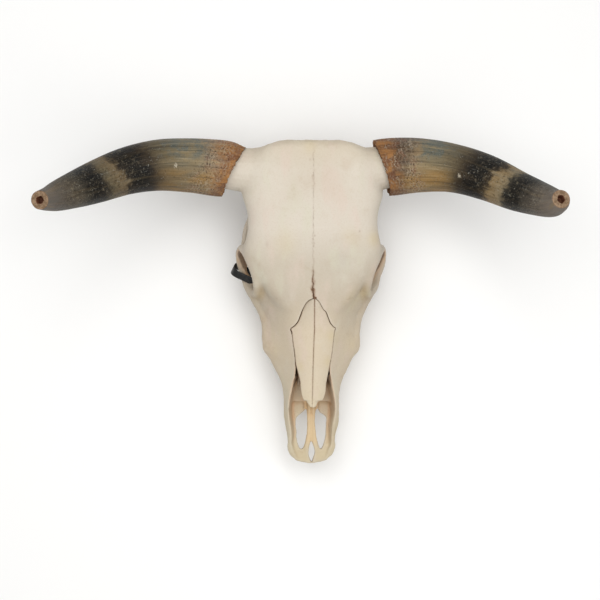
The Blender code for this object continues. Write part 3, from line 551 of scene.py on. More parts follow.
horns = {
    "left": {
        "side": -1,
        # centre line as (x, u, d) outwards from the skull, with its radius
        "path": [
            ((-75, 46, 44), 45), ((-142, 41, 43), 45), ((-192, 37, 36), 42.5), ((-242, 38, 22), 39.8),
            ((-290, 49, 2), 36.3), ((-336, 69, -30), 32), ((-379, 91, -86), 23.8), ((-394, 99, -116), 18.2),
            ((-404, 103, -146), 13.7)],
        "start": 123, "lean": 24,
    },
    "right": {
        "side": 1,
        "path": [
            ((70, 46, 44), 45.8), ((123, 38, 43), 45.8), ((172, 36, 34), 42.5), ((221, 42, 17), 37.8),
            ((267, 58, -10), 35.2), ((310, 82, -50), 30.6), ((345, 101, -108), 23.6),
            ((354, 103, -130), 18.6), ((357, 100, -148), 13.8)],
        "start": 111, "lean": 17,
    },
}
core = {"radius": 0.0355, "reach": 0.078, "root": (45, 50, 42)}  # radius and reach in metres


def hornLine(horn, samples=3):
    # rows of a point and a radius, in metres
    rows = [np.array((*at(*p), r / 1000), float) for p, r in horn["path"]]
    rows = [2 * rows[0] - rows[1], *rows, 2 * rows[-1] - rows[-2]]
    return np.array(smoothed(rows, samples) + [rows[-2]])


def coreRadius(reach):
    part = min(1.0, max(0.0, reach / 0.03))
    return core["radius"] - 0.085 * max(0.0, reach - 0.02) + 0.004 * (1 - eased(part))


def hornCore(horn):
    line = hornLine(horn)
    start = abs(line[0][0])
    inside = [row for row in line if abs(row[0]) - start < core["reach"]]
    x, u, d = core["root"]
    points = [at(horn["side"] * x, u, d)] + [row[:3] for row in inside]
    return tube(points, [30] + [1000 * coreRadius(abs(row[0]) - start) for row in inside])


# small openings: ends (x, u, d), radii at the ends
openings = [
    ((34, 346, 86), (70, 352, 95.5), 3.5, 5.2),  # front of the cheeks
    ((66, 100, 112), (100, 96, 108), 3, 4.2),  # ear passages
    ((10, 100, 110), (60, 170, 104), 4.5, 6.5),  # behind the eyes
    ((20, 180, 110), (60, 190, 112), 5, 8),
    ((24, 58, 126), (34, 78, 156), 3, 3.6),  # beside the condyles
    ((40, 80, 135), (46, 78, 160), 4.5, 4.5),
    ((15, 268, 105), (17, 266, 150), 3, 3.8),  # palate
]
# the thin bars along the middle of the nose
middleBar = [((3.2, 432, 87), 4, 5), ((3.2, 412, 85), 3.8, 6), ((3, 380, 86), 3.4, 7),
             ((3, 345, 88), 3.4, 10)]


def noseScrolls():
    return [
        bar([((17, 318, 52), 5, 8), ((19, 348, 56), 5.5, 9), ((21, 372, 62), 4, 6),
             ((22, 384, 66), 2.2, 3)]),
        bar([((15, 318, 76), 5.5, 7.5), ((18, 352, 80), 6, 7), ((22, 384, 86), 4, 4)]),
    ]


def boneMass():
    mass = emptySpace()
    for shape in (foreheadShape(), braincaseShape(), backWallShape(), loft(face)):
        grow(mass, shape, 0.008)
    soften(mass, 4)
    for path, up in cheekBars:
        grow(mass, bar(path, up=up), 0.009)
    hollows = emptySpace()
    for shape in (ball((118, 203, 64), (62, 32.5, 33.5), (0, -0.10, -0.30)),
                  ball((70, 184, 80), (40, 24, 28), (0, 0.15, -0.5)),
                  ball((76, 190, 94), (26, 36.5, 30)), ball((74, 186, 124), (28, 45, 34))):
        grow(hollows, shape, 0.004)
    mass = softMax(mass, -hollows, 0.004)
    where, passage = block(*loft(nosePassage))
    mass[where] = softMax(mass[where], -passage, 0.002)
    hollows[where] = np.minimum(hollows[where], passage)
    gullet = [((0, 262, 138), 12, 10), ((0, 236, 140), 17, 16), ((0, 200, 148), 18, 18),
              ((0, 170, 156), 18, 16)]
    carve(mass, bar(gullet, bothSides=False), 0.003)
    print("skull: main bodies")
    grow(mass, orbitRim(), 0.012)
    x, u, d = orbit["centre"]
    carve(mass, ball((x + 12, u, d), orbit["opening"], (0, -0.10, -0.22)), 0.004)
    for shapes, blend in zip(baseShapes(), (0.010, 0.005)):
        for shape in shapes:
            grow(mass, shape, blend)
    grow(mass, muzzleShape(), 0.005)
    grow(mass, ball((86.5, 223.5, 33.5), (3.4, 3.4, 3)), 0.002)
    grow(mass, bar(middleBar), 0.003)
    for shape in noseScrolls():
        grow(mass, shape, 0.0015)
    for horn in horns.values():
        grow(mass, hornCore(horn), 0.008)
    marrow = [((0, 20, 125), 19, 17), ((0, 46, 130), 18, 16), ((0, 72, 128), 15, 14)]
    carve(mass, bar(marrow, bothSides=False), 0.003)
    carve(mass, ball((0, 120, -20.5), (60, 60, 22)), 0.010)  # the forehead's shallow hollow
    for a, b, thin, thick in openings:
        carve(mass, mirrored(tube([at(*a), at(*b)], [thin, thick])), 0.0015)
    print("skull: details")
    return mass, hollows


# height, size and seed of each layer
weathering = {"layers": [(0.00055, 0.013, 4), (0.00033, 0.006, 5), (0.00022, 0.0028, 6)]}


def weathered(mass):
    # uneven growth: the forehead stays smooth, the back and the base are rough
    rough = 0.35 + 0.65 * np.clip((cellsOf(2) - 0.030) / 0.05, 0, 1)
    rough = rough + 0.9 * np.clip((0.022 - cellsOf(1)) / 0.02, 0, 1)
    for height, size, seed in weathering["layers"]:
        mass += height * rough * clouds(gridShape, size / grid["step"], seed)


# nasal bones, which lie in a bed of the mass
nasals = {
    # plan in millimetres, (x, u), from the root along each outer edge to the tip
    "left": [(-0.5, 246), (-3.5, 247), (-8, 249.6), (-12.5, 255), (-15.6, 262), (-19.5, 273), (-22.8, 281),
             (-28.2, 288), (-34.2, 293), (-32.6, 299), (-32, 304), (-30.5, 318), (-28.9, 326),
             (-26.4, 349), (-23.6, 360), (-20.4, 373), (-18.4, 388), (-16.8, 397), (-14.6, 403.5),
             (-12.4, 406.4), (-10.8, 405.4), (-9.6, 407.6), (-7.4, 411), (-3.6, 415.6), (-1, 416.5)],
    "right": [(1.5, 246), (5, 247), (9.6, 251), (15.6, 262), (20, 267), (23.6, 276), (27, 284),
              (32.5, 290.5), (35.4, 292), (33.8, 298), (31.5, 318), (29.8, 334), (26.8, 350), (24.6, 362),
              (21.6, 378), (20.4, 391), (18.4, 400), (15.6, 405.6), (12.0, 406.6),
              (9.6, 406.8), (8.0, 409), (6.2, 413), (4.4, 416.4), (1, 416.8)],
    # u, depth of the ridge, fall to the side edge, thickness
    "rows": [(246, 11.2, 1.5, 9), (262, 12.0, 4.0, 10), (283, 13.5, 7.0, 10), (293, 14.5, 9.5, 10),
             (322, 17.0, 9.0, 9), (345, 20.0, 9.0, 8), (365, 23.0, 8.0, 6), (385, 26.0, 7.0, 5),
             (402, 29.0, 5.0, 4), (417, 32.0, 2.0, 3.5)],
    # width of the seam beside each bone, by u
    "seams": {
        "left": [(246, 0.10), (258, 0.20), (265, 1.0), (275, 1.1), (284, 0.8), (292, 0.5), (296, 1.1),
                 (301, 1.0), (305, 0.12), (322, 0.12), (327, 0.7), (332, 0.2), (345, 0.5), (360, 1.6),
                 (372, 3.2), (390, 7)],
        "right": [(246, 0.06), (262, 0.08), (267, 0.6), (280, 0.7), (288, 0.6), (292, 0.3), (297, 0.08),
                  (348, 0.12), (362, 1.0), (372, 2.4), (390, 7)],
    },
    "meeting": [(246, 2.2), (295, 2.2), (326, 0.8), (357, 0.2), (404, -0.6), (417, -0.8)],
}
nasalPlan = nasals["left"] + nasals["right"][::-1]
nasalPlace = (slice(*(int((v * 0.001 - gridLow[0]) / grid["step"]) for v in (-42, 42))),
              slice(*(int((-v * 0.001 - gridLow[1]) / grid["step"]) for v in (422, 240))),
              slice(int((-0.062 - gridLow[2]) / grid["step"]), gridShape[2]))


def nasalSpace(where):
    # distances to both nasal bones, to their bed, and to the line where they meet, in metres
    x, u, d = (cellsOf(axis, where[axis]) * 1000 for axis in range(3))
    flatX, flatU = x[:, :, 0], u[:, :, 0]
    plan = planDistance(nasalPlan, flatX, flatU)
    rows = nasals["rows"]
    ridge, fall, thick = (between([(row[0], row[k]) for row in rows], flatU) for k in (1, 2, 3))
    middle = between(nasals["meeting"], flatU)
    # how far out each point is, as a share of the width there
    wide = between([(b, a) for a, b in nasals["right"]], flatU)
    share = np.clip(np.abs(flatX - middle) / np.maximum(wide, 3), 0, 1.3)
    top = (ridge + fall * share ** 2.1 + 0.9 * np.exp(-((flatX - middle) / 1.6) ** 2))[:, :, None]
    sole = top + thick[:, :, None] * (1 - 0.25 * share[:, :, None])
    gap = np.where(flatX < 0, *(between(nasals["seams"][side], flatU) for side in ("left", "right")))
    bone = softMax(softMax(plan[:, :, None], top - d, 0.4), d - sole, 1.5)
    bed = np.maximum((plan - gap)[:, :, None], d - (sole + 0.3))
    return [(v * 0.001).astype(np.float32) for v in (bone, bed, x - middle[:, :, None] + 0 * d)]


# meshes from distances
def addMesh(name, points, quads):
    # points come in the skull's own space and are laid in the frame
    mesh = bpy.data.meshes.new(name)
    mesh.vertices.add(len(points))
    mesh.loops.add(quads.size)
    mesh.polygons.add(len(quads))
    mesh.vertices.foreach_set("co", moved(points, skullToFloor).astype(np.float32).ravel())
    mesh.loops.foreach_set("vertex_index", quads.astype(np.int32).ravel())
    mesh.polygons.foreach_set("loop_start", np.arange(0, quads.size, 4, dtype=np.int32))
    mesh.update(calc_edges=True)
    mesh.validate()
    mesh.shade_smooth()
    return addObject(name, mesh)


def remember(mesh, **values):
    # keeps a value of each point with the mesh, for its finish
    for title, value in values.items():
        kind, key = ("FLOAT_VECTOR", "vector") if value.ndim > 1 else ("FLOAT", "value")
        layer = mesh.attributes.new(title, kind, "POINT")
        layer.data.foreach_set(key, value.astype(np.float32).ravel())


def keepInside(obj):
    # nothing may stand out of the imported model's box
    low, high = (np.array(corner) for corner in cadBox)
    points = np.clip(pointsOf(obj.data)[0], low + 2e-5, high - 2e-5)
    obj.data.vertices.foreach_set("co", points.astype(np.float32).ravel())
    obj.data.update()


def dress(obj, finish, slot, *nodes):
    keepInside(obj)
    obj.data.materials.clear()
    obj.data.materials.append(finish)
    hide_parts(*nodes)
    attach(obj, "root")
    print(obj.name, sum(len(p.vertices) - 2 for p in obj.data.polygons), "triangles")


def slope(space, points):
    # unit direction in which the distances rise
    found = []
    for axis in range(3):
        shift = np.zeros(3)
        shift[axis] = grid["step"]
        found.append(valuesAt(space, points + shift) - valuesAt(space, points - shift))
    found = np.stack(found, 1)
    return found / np.maximum(np.linalg.norm(found, axis=1, keepdims=True), 1e-9)


def openness(space, points, normals):
    # 1 in the open, falling towards 0 in cracks and hollows
    total = 0
    for reach in (0.002, 0.004, 0.007, 0.010):
        total = total + np.clip(valuesAt(space, points + normals * reach) / reach, 0, 1)
    return total / 4


def sharpened(points, whole, cut):
    # pulls the points of a rounded edge back to where the two surfaces really meet
    step = grid["step"]
    for _ in range(3):
        outer, inner = valuesAt(whole, points), valuesAt(cut, points)
        near = (np.abs(outer) < 0.75 * step) & (np.abs(inner) < 0.75 * step)
        for space, values in ((whole, outer), (cut, inner)):
            points[near] -= slope(space, points[near]) * values[near, None]
    return points


# edges over so many degrees look sharp; a mesh of more quads than mostQuads is thinned out to keptQuads
boneMesh = {"seal": 0.001, "sharpAngle": 38, "mostQuads": 98000, "keptQuads": 96000}


def addBone(name, where, whole, cut, blurred, finish, slot, node):
    space = np.maximum(whole[where], cut[where])
    closeSides(space, boneMesh["seal"])
    cell = grid["step"]
    points, quads = surfaceOf(space, cell, grid["reach"] / cell)
    points = sharpened((points + np.array([w.start for w in where])) * cell + gridLow, whole, cut)
    obj = addMesh(name, points, outward(points, quads))
    normals = slope(whole, points)
    remember(obj.data, open=openness(whole, points, normals), bulge=valuesAt(blurred, points) / 0.001,
             mark=seamMarks(points, cut), tone=spotsAt(points, patches),
             cave=caveShare(points, normals, "nasal" in name))
    obj.data.set_sharp_from_angle(angle=math.radians(boneMesh["sharpAngle"]))
    if len(quads) > boneMesh["mostQuads"]:
        obj.modifiers.new("fewer", "DECIMATE").ratio = boneMesh["keptQuads"] / len(quads)
        obj.data = evaluated(obj)
        obj.modifiers.clear()
    dress(obj, finish, slot, node)


# where an old seam shows as a brown line: along the middle, by u in mm and strength
seamLines = {
    "middle": [(0, 0.0), (14, 0.06), (22, 0.28), (36, 0.20), (44, 0.08), (52, 0.28), (80, 0.24), (92, 0.12),
               (120, 0.32), (150, 0.28), (166, 0.20), (196, 0.34), (205, 0.70), (246, 1.0), (300, 0.85),
               (360, 0.70), (404, 0.45)],
    "place": [(20, 0.8), (76, 0.2), (162, 0.8), (204, 1.6), (248, 2.2), (295, 2.2), (326, 0.8), (357, 0.2),
              (404, -0.6)],
    "beside": [(246, 0.25), (262, 0.5), (268, 1.0), (298, 1.0), (304, 0.55), (324, 0.6), (350, 0.8),
               (372, 0.9)],
}


def seamMarks(points, cut):
    # how strongly a seam's brown line colours each point
    x, u, d = points[:, 0] * 1000, -points[:, 1] * 1000, -points[:, 2] * 1000
    off = x - between(seamLines["place"], u)
    seam = (u < 250) & (np.abs(off) < 9 - np.clip((u - 222) / 24, 0, 1) * 6.5)
    off[seam] = valuesAt(cut, points[seam]) * 1000
    middle = between(seamLines["middle"], u) * np.exp(-(off / 0.85) ** 2) * (u < 412)
    sides = (u > 240) & (u < 380) & (d < 45)
    beside = np.zeros_like(x)
    beside[sides] = np.exp(-(planDistance(nasalPlan, x[sides], u[sides]) / 0.8) ** 2)
    beside *= between(seamLines["beside"], u) * np.where(x > 0, 0.55, 1.0)
    marks = np.where(d < 60, np.maximum(middle, beside), 0) + spotsAt(points, pits)
    return np.clip(marks, 0, 1)


# soft patches of colour: x and u in mm, reach, and how yellow (or grey below 0)
patches = [(-44, 159, 24, 0.28), (57, 156, 20, 0.32), (47, 182, 20, -0.35), (96, 152, 13, 0.40),
           (-5, 8, 14, 0.32), (-66, 30, 20, -0.15), (60, 246, 20, 0.32), (30, 305, 10, 0.35),
           (-60, 330, 18, 0.20), (62, 318, 14, 0.22), (-40, 236, 20, -0.25), (42, 228, 16, -0.25),
           (-20, 352, 8, 0.30), (24, 345, 9, 0.35), (-82, 240, 10, 0.35), (84, 238, 10, 0.35)]
# dark pits: x and u in mm, reach, strength
pits = [(-72, 161, 3.2, 0.16), (72, 141, 1.2, 0.45), (-5, 30, 1.4, 0.30), (-1, 55, 1.2, 0.4),
        (2, 148, 1.2, 0.45)]


def spotsAt(points, spots):
    x, u = points[:, 0] * 1000, -points[:, 1] * 1000
    total = np.zeros_like(x)
    for spotX, spotU, reach, strength in spots:
        total += strength * np.exp(-((x - spotX) ** 2 + ((u - spotU) * 0.8) ** 2) / reach ** 2)
    return total * (points[:, 2] > -0.075)


# how far out the brow hides what lies under it, by u
browEdge = [(0.160, 0.118), (0.176, 0.1145), (0.195, 0.107), (0.204, 0.1008), (0.2135, 0.095),
            (0.2215, 0.090), (0.235, 0.070)]


def caveShare(points, normals, onlyBelow):
    # how much painted shade each point takes: 1 on the walls of the eye and nose openings, up to 2 for a
    # darker painted shadow behind the brow, in the upper corners of the nose openings and under the nasal
    # tips
    x, u, d = np.abs(points[:, 0]), -points[:, 1], -points[:, 2]
    share = np.clip(0.6 - valuesAt(caves, points) / 0.005, 0, 1)
    margin = between(browEdge, u)
    behind = np.clip((margin + 0.0045 - x) / 0.0025, 0, 1) * np.clip((d - 0.040) / 0.010, 0, 1)
    eyes = np.clip((margin + 0.011 - x) / 0.006, 0, 1) + behind
    besideRoot = np.clip((0.390 - u) / 0.014, 0, 1) * (d < 0.082)
    underTip = np.clip((0.426 - u) / 0.008, 0, 1) * np.clip((0.009 - x) / 0.003, 0, 1) * (u > 0.40)
    share = share * np.where(u < 0.26, eyes, 1 + np.maximum(besideRoot, underTip))
    # painted tan shade along the foot of the muzzle's side walls, and where the nose opens
    foot = between(muzzle["ridgeAt"], u * 1000) - 0.9 * between(muzzle["wallRun"], u * 1000)
    groove = np.exp(-((x * 1000 - foot) / 5.0) ** 2) * np.clip((0.492 - u) / 0.045, 0, 1)
    mouth = 0.65 * np.clip((0.436 - u) / 0.034, 0, 1) * (x * 1000 < foot) * (x > 0.007)
    inNose = np.clip((u - 0.396) / 0.006, 0, 1) * (d > 0.05) * (normals[:, 2] > -0.2)
    share = np.maximum(share, 0.9 * np.maximum(groove, mouth) * inNose)
    return share * (normals[:, 2] < -0.2) if onlyBelow else share


def muzzleOpened(mass):
    # gaps that go right through the muzzle
    x, u = cellsOf(0)[:, :, 0] * 1000, cellsOf(1)[0:1, :, 0] * 1000
    ahead = u[0] > 415
    gaps = np.full(gridShape[:2], 9.0)
    gaps[:, ahead] = muzzleGaps(x + 0 * u[:, ahead], 0 * x + u[:, ahead])
    d = cellsOf(2) * 1000
    prism = np.maximum(gaps[:, :, None], np.maximum(76 - d, d - 116)) * 0.001
    return softMax(mass, -prism.astype(np.float32), 0.0015)


# how unevenly the seams between the bones run, and by how much the bones overlap there
wiggle = {"far": 0.0014, "size": 0.0042, "overlap": 0.00012, "seed": 21}
# the seam stands open at the front of the forehead: half widths by u, and its depth
crack = {"widths": [(0.200, 0.0), (0.207, 0.00018), (0.218, 0.00024), (0.232, 0.00028), (0.246, 0.0005),
                    (0.252, 0.0005), (0.256, 0.0)], "place": 0.0016, "depth": 0.006}


def crackGap(where, whole):
    x, u = cellsOf(0, where[0]), cellsOf(1, where[1])
    width = between(crack["widths"], u)
    near = np.exp(-((x - crack["place"]) / 0.006) ** 4)
    return width * near * np.clip(1 + whole[where] / crack["depth"], 0, 1)


# uneven growth of the nasal bones: height, size and seed
nasalGrain = {"bone": [(0.00022, 0.007, 80), (0.00012, 0.0028, 81)], "line": (0.0003, 0.009, 82),
              "overlap": 0.00014}


def bonePieces(whole, blurred):
    names = [n for n in frame["nodes"] if n.split("_")[0] in kinds]
    nearest, second = emptySpace() * 2, emptySpace() * 2
    owner = np.zeros(gridShape, np.uint8)
    places = {}
    for index, name in enumerate(names):
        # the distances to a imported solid, on the skull's grid
        points, faces = pointsOf(frame["nodes"][name].data)
        where, values = block(moved(points, skullToFloor.inverted()).astype(np.float32), faces)
        values += wiggle["far"] * clouds(values.shape, wiggle["size"] / grid["step"], wiggle["seed"] + index)
        a, b, own = nearest[where], second[where], owner[where]
        closer = values < a
        second[where] = np.where(closer, a, np.minimum(b, values))
        owner[where] = np.where(closer, index + 1, own)
        nearest[where] = np.where(closer, values, a)
        places[name] = (where, values)
    print("skull: seams found")
    for index, name in enumerate(names):
        where, values = places[name]
        other = np.where(owner[where] == index + 1, second[where], nearest[where])
        cut = emptySpace()
        cut[where] = (values - other) / 2 - wiggle["overlap"]
        if name.startswith("forehead"):
            cut[where] += crackGap(where, whole) + wiggle["overlap"] * (crackGap(where, whole) > 0)
        look, slot = kinds[name.split("_")[0]]
        title = name.replace("_", "Bone_") if "_" in name else name + "Bone"
        addBone(title, where, whole, cut, blurred, finishes[look], slot, name)


def nasalPieces(blurred, bone, middle):
    # the two nasal bones, each with its own side of the line between them
    where = nasalPlace
    cell = grid["step"]
    for height, size, seed in nasalGrain["bone"]:
        bone = bone + height * clouds(bone.shape, size / cell, seed)
    height, size, seed = nasalGrain["line"]
    middle = middle + height * clouds(bone.shape, size / cell, seed)
    both = emptySpace()
    both[where] = bone
    cut = emptySpace()
    for side, sign in (("left", -1), ("right", 1)):
        cut[where] = nasalGrain["overlap"] - sign * middle
        addBone(f"nasalBone_{side}", where, both, cut, blurred, finishes["nasal"], "pale_bone",
                f"nasal_{side}")


# cheek teeth
teeth = {
    "rowFront": 0.388,
    "row": [(0.250, 0.0510), (0.290, 0.0520), (0.325, 0.0495), (0.360, 0.0430), (0.388, 0.0365)],
    "backDepth": 0.1780, "slope": 0.36, "height": 0.038,
    # length along the jaw, width, lobes
    "each": [(0.0160, 0.0150, 1), (0.0175, 0.0180, 1), (0.0180, 0.0210, 1),
             (0.0245, 0.0240, 2), (0.0275, 0.0250, 2), (0.0300, 0.0230, 2)],
    "ridge": 0.0016,  # how far the enamel stands above the worn dentine
    "step": 0.0005,
}


def chewingHeight(u):
    return teeth["backDepth"] - teeth["slope"] * (u - 0.250)


def toothRow(side):
    # six crowns with columns on the cheek side and crescents of enamel on the chewing face
    step = teeth["step"]
    back = teeth["rowFront"] - sum(length for length, _, _ in teeth["each"])
    across = np.arange(0.016, 0.076, step)
    along = np.arange(back - 0.006, teeth["rowFront"] + 0.006, step)
    deep = np.arange(0.096, 0.186, step)
    x, u = np.meshgrid(across, along, indexing="ij")
    middle = between(teeth["row"], u)
    lift = chewingHeight(u)
    outline = np.full(x.shape, 1.0)
    enamel = np.full(x.shape, -1.0)
    front = teeth["rowFront"]
    for length, width, lobes in teeth["each"]:
        for k in range(lobes):
            centre = front - length * (k + 0.5) / lobes
            half = (0.5 if lobes == 1 else 0.56) * length / lobes
            a = (u - centre) / half
            b = (x - middle) / (width / 2)
            # flatter towards the cheek with three ribs, rounder towards the tongue
            rib = 0.075 * np.cos(a * math.pi * 2) + 0.05 * np.cos(a * math.pi)
            reach = np.where(b > 0, np.abs(a * 0.96) ** 3.4 + np.abs(b / (0.93 + rib)) ** 3.2,
                             np.abs(a * 0.98) ** 2.3 + np.abs(b) ** 2.2)
            lobe = (reach ** 0.36 - 1) * half * 0.9
            outline = softMin(outline, lobe, 0.0012)
            bow = b + 0.42 * a * a - 0.12  # a crescent that is open towards the cheek
            crescent = np.hypot(np.maximum(np.abs(a) - 0.52, 0) * 1.5, bow) * width / 2 - 0.0021
            rim = np.exp(-(lobe / 0.0011 + 0.6) ** 2) + np.exp(-(crescent / 0.0009) ** 2)
            rim = rim - 0.9 * np.exp(-(np.minimum(crescent + 0.0013, 0) / 0.0008) ** 2) * (crescent < 0)
            enamel = np.maximum(enamel, np.where(lobe < 0.0006, np.clip(rim, -0.8, 1), -1))
        front -= length
    chewing = (lift - teeth["ridge"] * (1 - np.clip(enamel, -0.8, 1)))[:, :, None]
    d = deep[None, None, :]
    narrow = 0.00015 + 0.010 * np.maximum(d - (lift[:, :, None] - 0.030), 0)
    ends = np.maximum(d - chewing, (lift - teeth["height"])[:, :, None] - d)
    space = np.maximum(outline[:, :, None] + narrow, ends).astype(np.float32)
    space += 0.00012 * clouds(space.shape, 0.0020 / step, 60)
    soften(space, 1)
    closeSides(space, 0.002)
    points, quads = surfaceOf(space, step)
    where = points * step + np.array([across[0], along[0], deep[0]])
    placed = where * np.array((-1 if side == "left" else 1, -1, -1))
    # how deep and how worn each point is, for the colours
    cell = np.clip(np.round(points[:, :2]).astype(int), 0, np.array(outline.shape) - 1)
    return placed, quads, where[:, 2] - chewingHeight(where[:, 1]), enamel[cell[:, 0], cell[:, 1]]


def addTeeth(side, finish):
    points, quads, height, hard = toothRow(side)
    obj = addMesh(f"cheekTeeth_{side}", points, outward(points, quads))
    remember(obj.data, height=height, hard=hard)
    dress(obj, finish, "bone", f"maxilla_{side}")


# horn sheaths
sheath = {
    "rows": 300, "sides": 150,
    "edgePlace": (44, 44),  # u and d of the middle of the cut edge
    "ragged": 0.0030,  # how uneven that edge is
    "waves": [(3, 0.30), (7, 0.30), (13, 0.28), (23, 0.25), (41, 0.2)],  # how many round it, how strong
    "edgeThick": 0.0016, "play": 0.0018, "socketEnd": 0.105,
    "later": {"left": 0.0012, "right": 0.0},  # the edge further out than the middle of the line
    "closes": {"left": 0.0085, "right": 0.0},  # how far the upper edge bends in to the bone
    "closesOver": 0.016,
    "bore": 0.0058, "boreDepth": 0.012, "seeds": {"left": 31, "right": 57},
}


def angleNoise(turns, seed, waves):
    # a value round a ring that closes on itself: waves are (how many, how strong)
    picker = np.random.default_rng(seed)
    total = np.zeros_like(turns)
    for count, strength in waves:
        total += strength * np.sin(count * turns + picker.uniform(0, 2 * math.pi))
    return total


def sheathMesh(name, side, horn):
    line = hornLine(horn, 24)
    points, radii = line[:, :3], line[:, 3]
    run = np.concatenate(([0], np.cumsum(np.linalg.norm(np.diff(points, axis=0), axis=1))))
    total = run[-1]
    along = np.gradient(points, run, axis=0)
    along /= np.linalg.norm(along, axis=1, keepdims=True)
    # a frame carried along the line without twist, starting upright
    ups = [np.array((0, 0, 1.0))]
    for t in along:
        up = ups[-1] - t * np.dot(ups[-1], t)
        ups.append(up / np.linalg.norm(up))
    ups = np.array(ups[1:])
    aside = np.cross(along, ups)

    def frameAt(s):
        found = (np.stack([np.interp(s, run, rows[:, k]) for k in range(3)], -1)
                 for rows in (points, ups, aside))
        return *found, np.interp(s, run, radii)

    turns = 2 * math.pi * np.arange(sheath["sides"]) / sheath["sides"]
    cos, sin = np.cos(turns), np.sin(turns)
    sign, seed = horn["side"], sheath["seeds"][side]
    lean = math.radians(horn["lean"])
    edge = np.array(at(sign * horn["start"], *sheath["edgePlace"]))
    across = np.array((math.cos(lean) * sign, math.sin(lean), 0.0))  # points outwards
    # where each lengthwise line of the wall meets the slanted edge
    starts = np.zeros(len(turns))
    centre, up, out, radius = frameAt(run)
    for k in range(len(turns)):
        wall = centre + radius[:, None] * (up * cos[k] + out * sin[k])
        starts[k] = np.interp(0.0, (wall - edge) @ across, run)
    ragged = sheath["ragged"] * np.abs(angleNoise(turns, seed, sheath["waves"]))
    starts = starts + ragged - 0.0006 + sheath["later"][side]
    bend = sheath["closes"][side] * np.maximum(0, -sin * sign) ** 1.5

    def bentIn(s):
        return bend * np.exp(-((s - starts) / sheath["closesOver"]) ** 1.5)

    def boneAt(s):
        return np.array([coreRadius(float(v)) for v in s])

    rings, layers = [], []

    def addRing(s, radius, part=0.0):
        # s and radius may differ round the ring
        s = np.broadcast_to(s, turns.shape)
        centre, up, out, _ = frameAt(s)
        rings.append(centre + np.broadcast_to(radius, turns.shape)[:, None]
                     * (up * cos[:, None] + out * sin[:, None]))
        layers.append(np.stack((s, turns, np.full_like(turns, part)), 1))

    # inside, from its blind end to the edge
    end = sheath["socketEnd"]
    for back, share in ((0, 0.5), (0.002, 0.9)):
        addRing(end - back, (coreRadius(end - back) + sheath["play"]) * share, 1.0)
    for t in np.linspace(0, 1, 16):
        s = (end - 0.006) * (1 - t) + starts * t
        outer = frameAt(s)[3] - bentIn(s)
        addRing(s, np.minimum(boneAt(s) + sheath["play"], outer - sheath["edgeThick"]), 1.0)
    # the wall, thin at its edge
    for t in np.linspace(0, 1, sheath["rows"]) ** 1.06:
        s = starts + (total - starts) * t
        straight = frameAt(s)[3] - 0.0007 * np.exp(-(s - starts) / 0.006)
        addRing(s, np.maximum(straight - bentIn(s), np.minimum(boneAt(s) + 0.0012, straight)))
    # the sawn end and the rough hole in it
    end = frameAt(np.array([total]))[3][0] - 0.0006
    hole = sheath["bore"] * (1 + angleNoise(turns, seed + 5, [(2, 0.06), (5, 0.05), (11, 0.03)]))
    for t in (0, 0.15, 0.4, 0.65, 0.9):
        addRing(total + 0.0004, end * (1 - t) + hole * t, 2.0)
    for t in np.linspace(0.0, 1.0, 9):
        rough = 1 + 0.06 * angleNoise(turns + t * 2, seed + 9, [(4, 0.5), (9, 0.5)])
        addRing(total - sheath["boreDepth"] * t, hole * rough * (1 - 0.12 * t), 3.0)
    addRing(total - sheath["boreDepth"], hole * 0.4, 3.0)

    layer = np.concatenate(layers)
    count = len(turns)
    bm = bmesh.new()
    dots = [bm.verts.new(p) for p in moved(np.concatenate(rings), skullToFloor)]
    for k in range(0, len(dots) - count, count):
        for i in range(count):
            j = (i + 1) % count
            bm.faces.new((dots[k + i], dots[k + j], dots[k + count + j], dots[k + count + i]))
    bm.faces.new(dots[:count][::-1])
    bm.faces.new(dots[-count:])
    bmesh.ops.recalc_face_normals(bm, faces=bm.faces)
    obj = addObject(name, bm)
    lie = np.stack((0.04 * np.cos(layer[:, 1]), 0.04 * np.sin(layer[:, 1]), layer[:, 0]), 1)
    remember(obj.data, along=layer[:, 0] / total, fromEdge=layer[:, 0] - np.tile(starts, len(rings)),
             part=layer[:, 2], lie=lie)
    obj.data.shade_smooth()
    return obj


class Socket:
    # a value in a node tree; sums, products and quotients of these make nodes
    def __init__(self, nodes, link):
        self.nodes, self.link = nodes, link


def arithmetic(operation, swapped):
    def made(self, other):
        return self.nodes.math(operation, *((other, self) if swapped else (self, other)))
    return made


for sign, operation in (("add", "ADD"), ("sub", "SUBTRACT"), ("mul", "MULTIPLY"), ("truediv", "DIVIDE")):
    setattr(Socket, f"__{sign}__", arithmetic(operation, False))
    setattr(Socket, f"__r{sign}__", arithmetic(operation, True))


class Nodes:
    # a node tree written node by node: node(kind, settings, inputs, output) gives one of its outputs
    def __init__(self, tree):
        self.tree = tree

    def join(self, value, socket):
        if isinstance(value, Socket):
            self.tree.links.new(value.link, socket)
        elif isinstance(value, tuple) and socket.type == "RGBA":
            socket.default_value = (*shade(value), 1)
        else:
            socket.default_value = value

    def node(self, kind, settings=None, inputs=None, output=0):
        made = self.tree.nodes.new(kind)
        for key, value in (settings or {}).items():
            setattr(made, key, value)
        for key, value in (inputs or {}).items():
            self.join(value, made.inputs[key])
        return Socket(self, made.outputs[output])

    def math(self, operation, a, b=0.0):
        return self.node("ShaderNodeMath", {"operation": operation}, {0: a, 1: b})


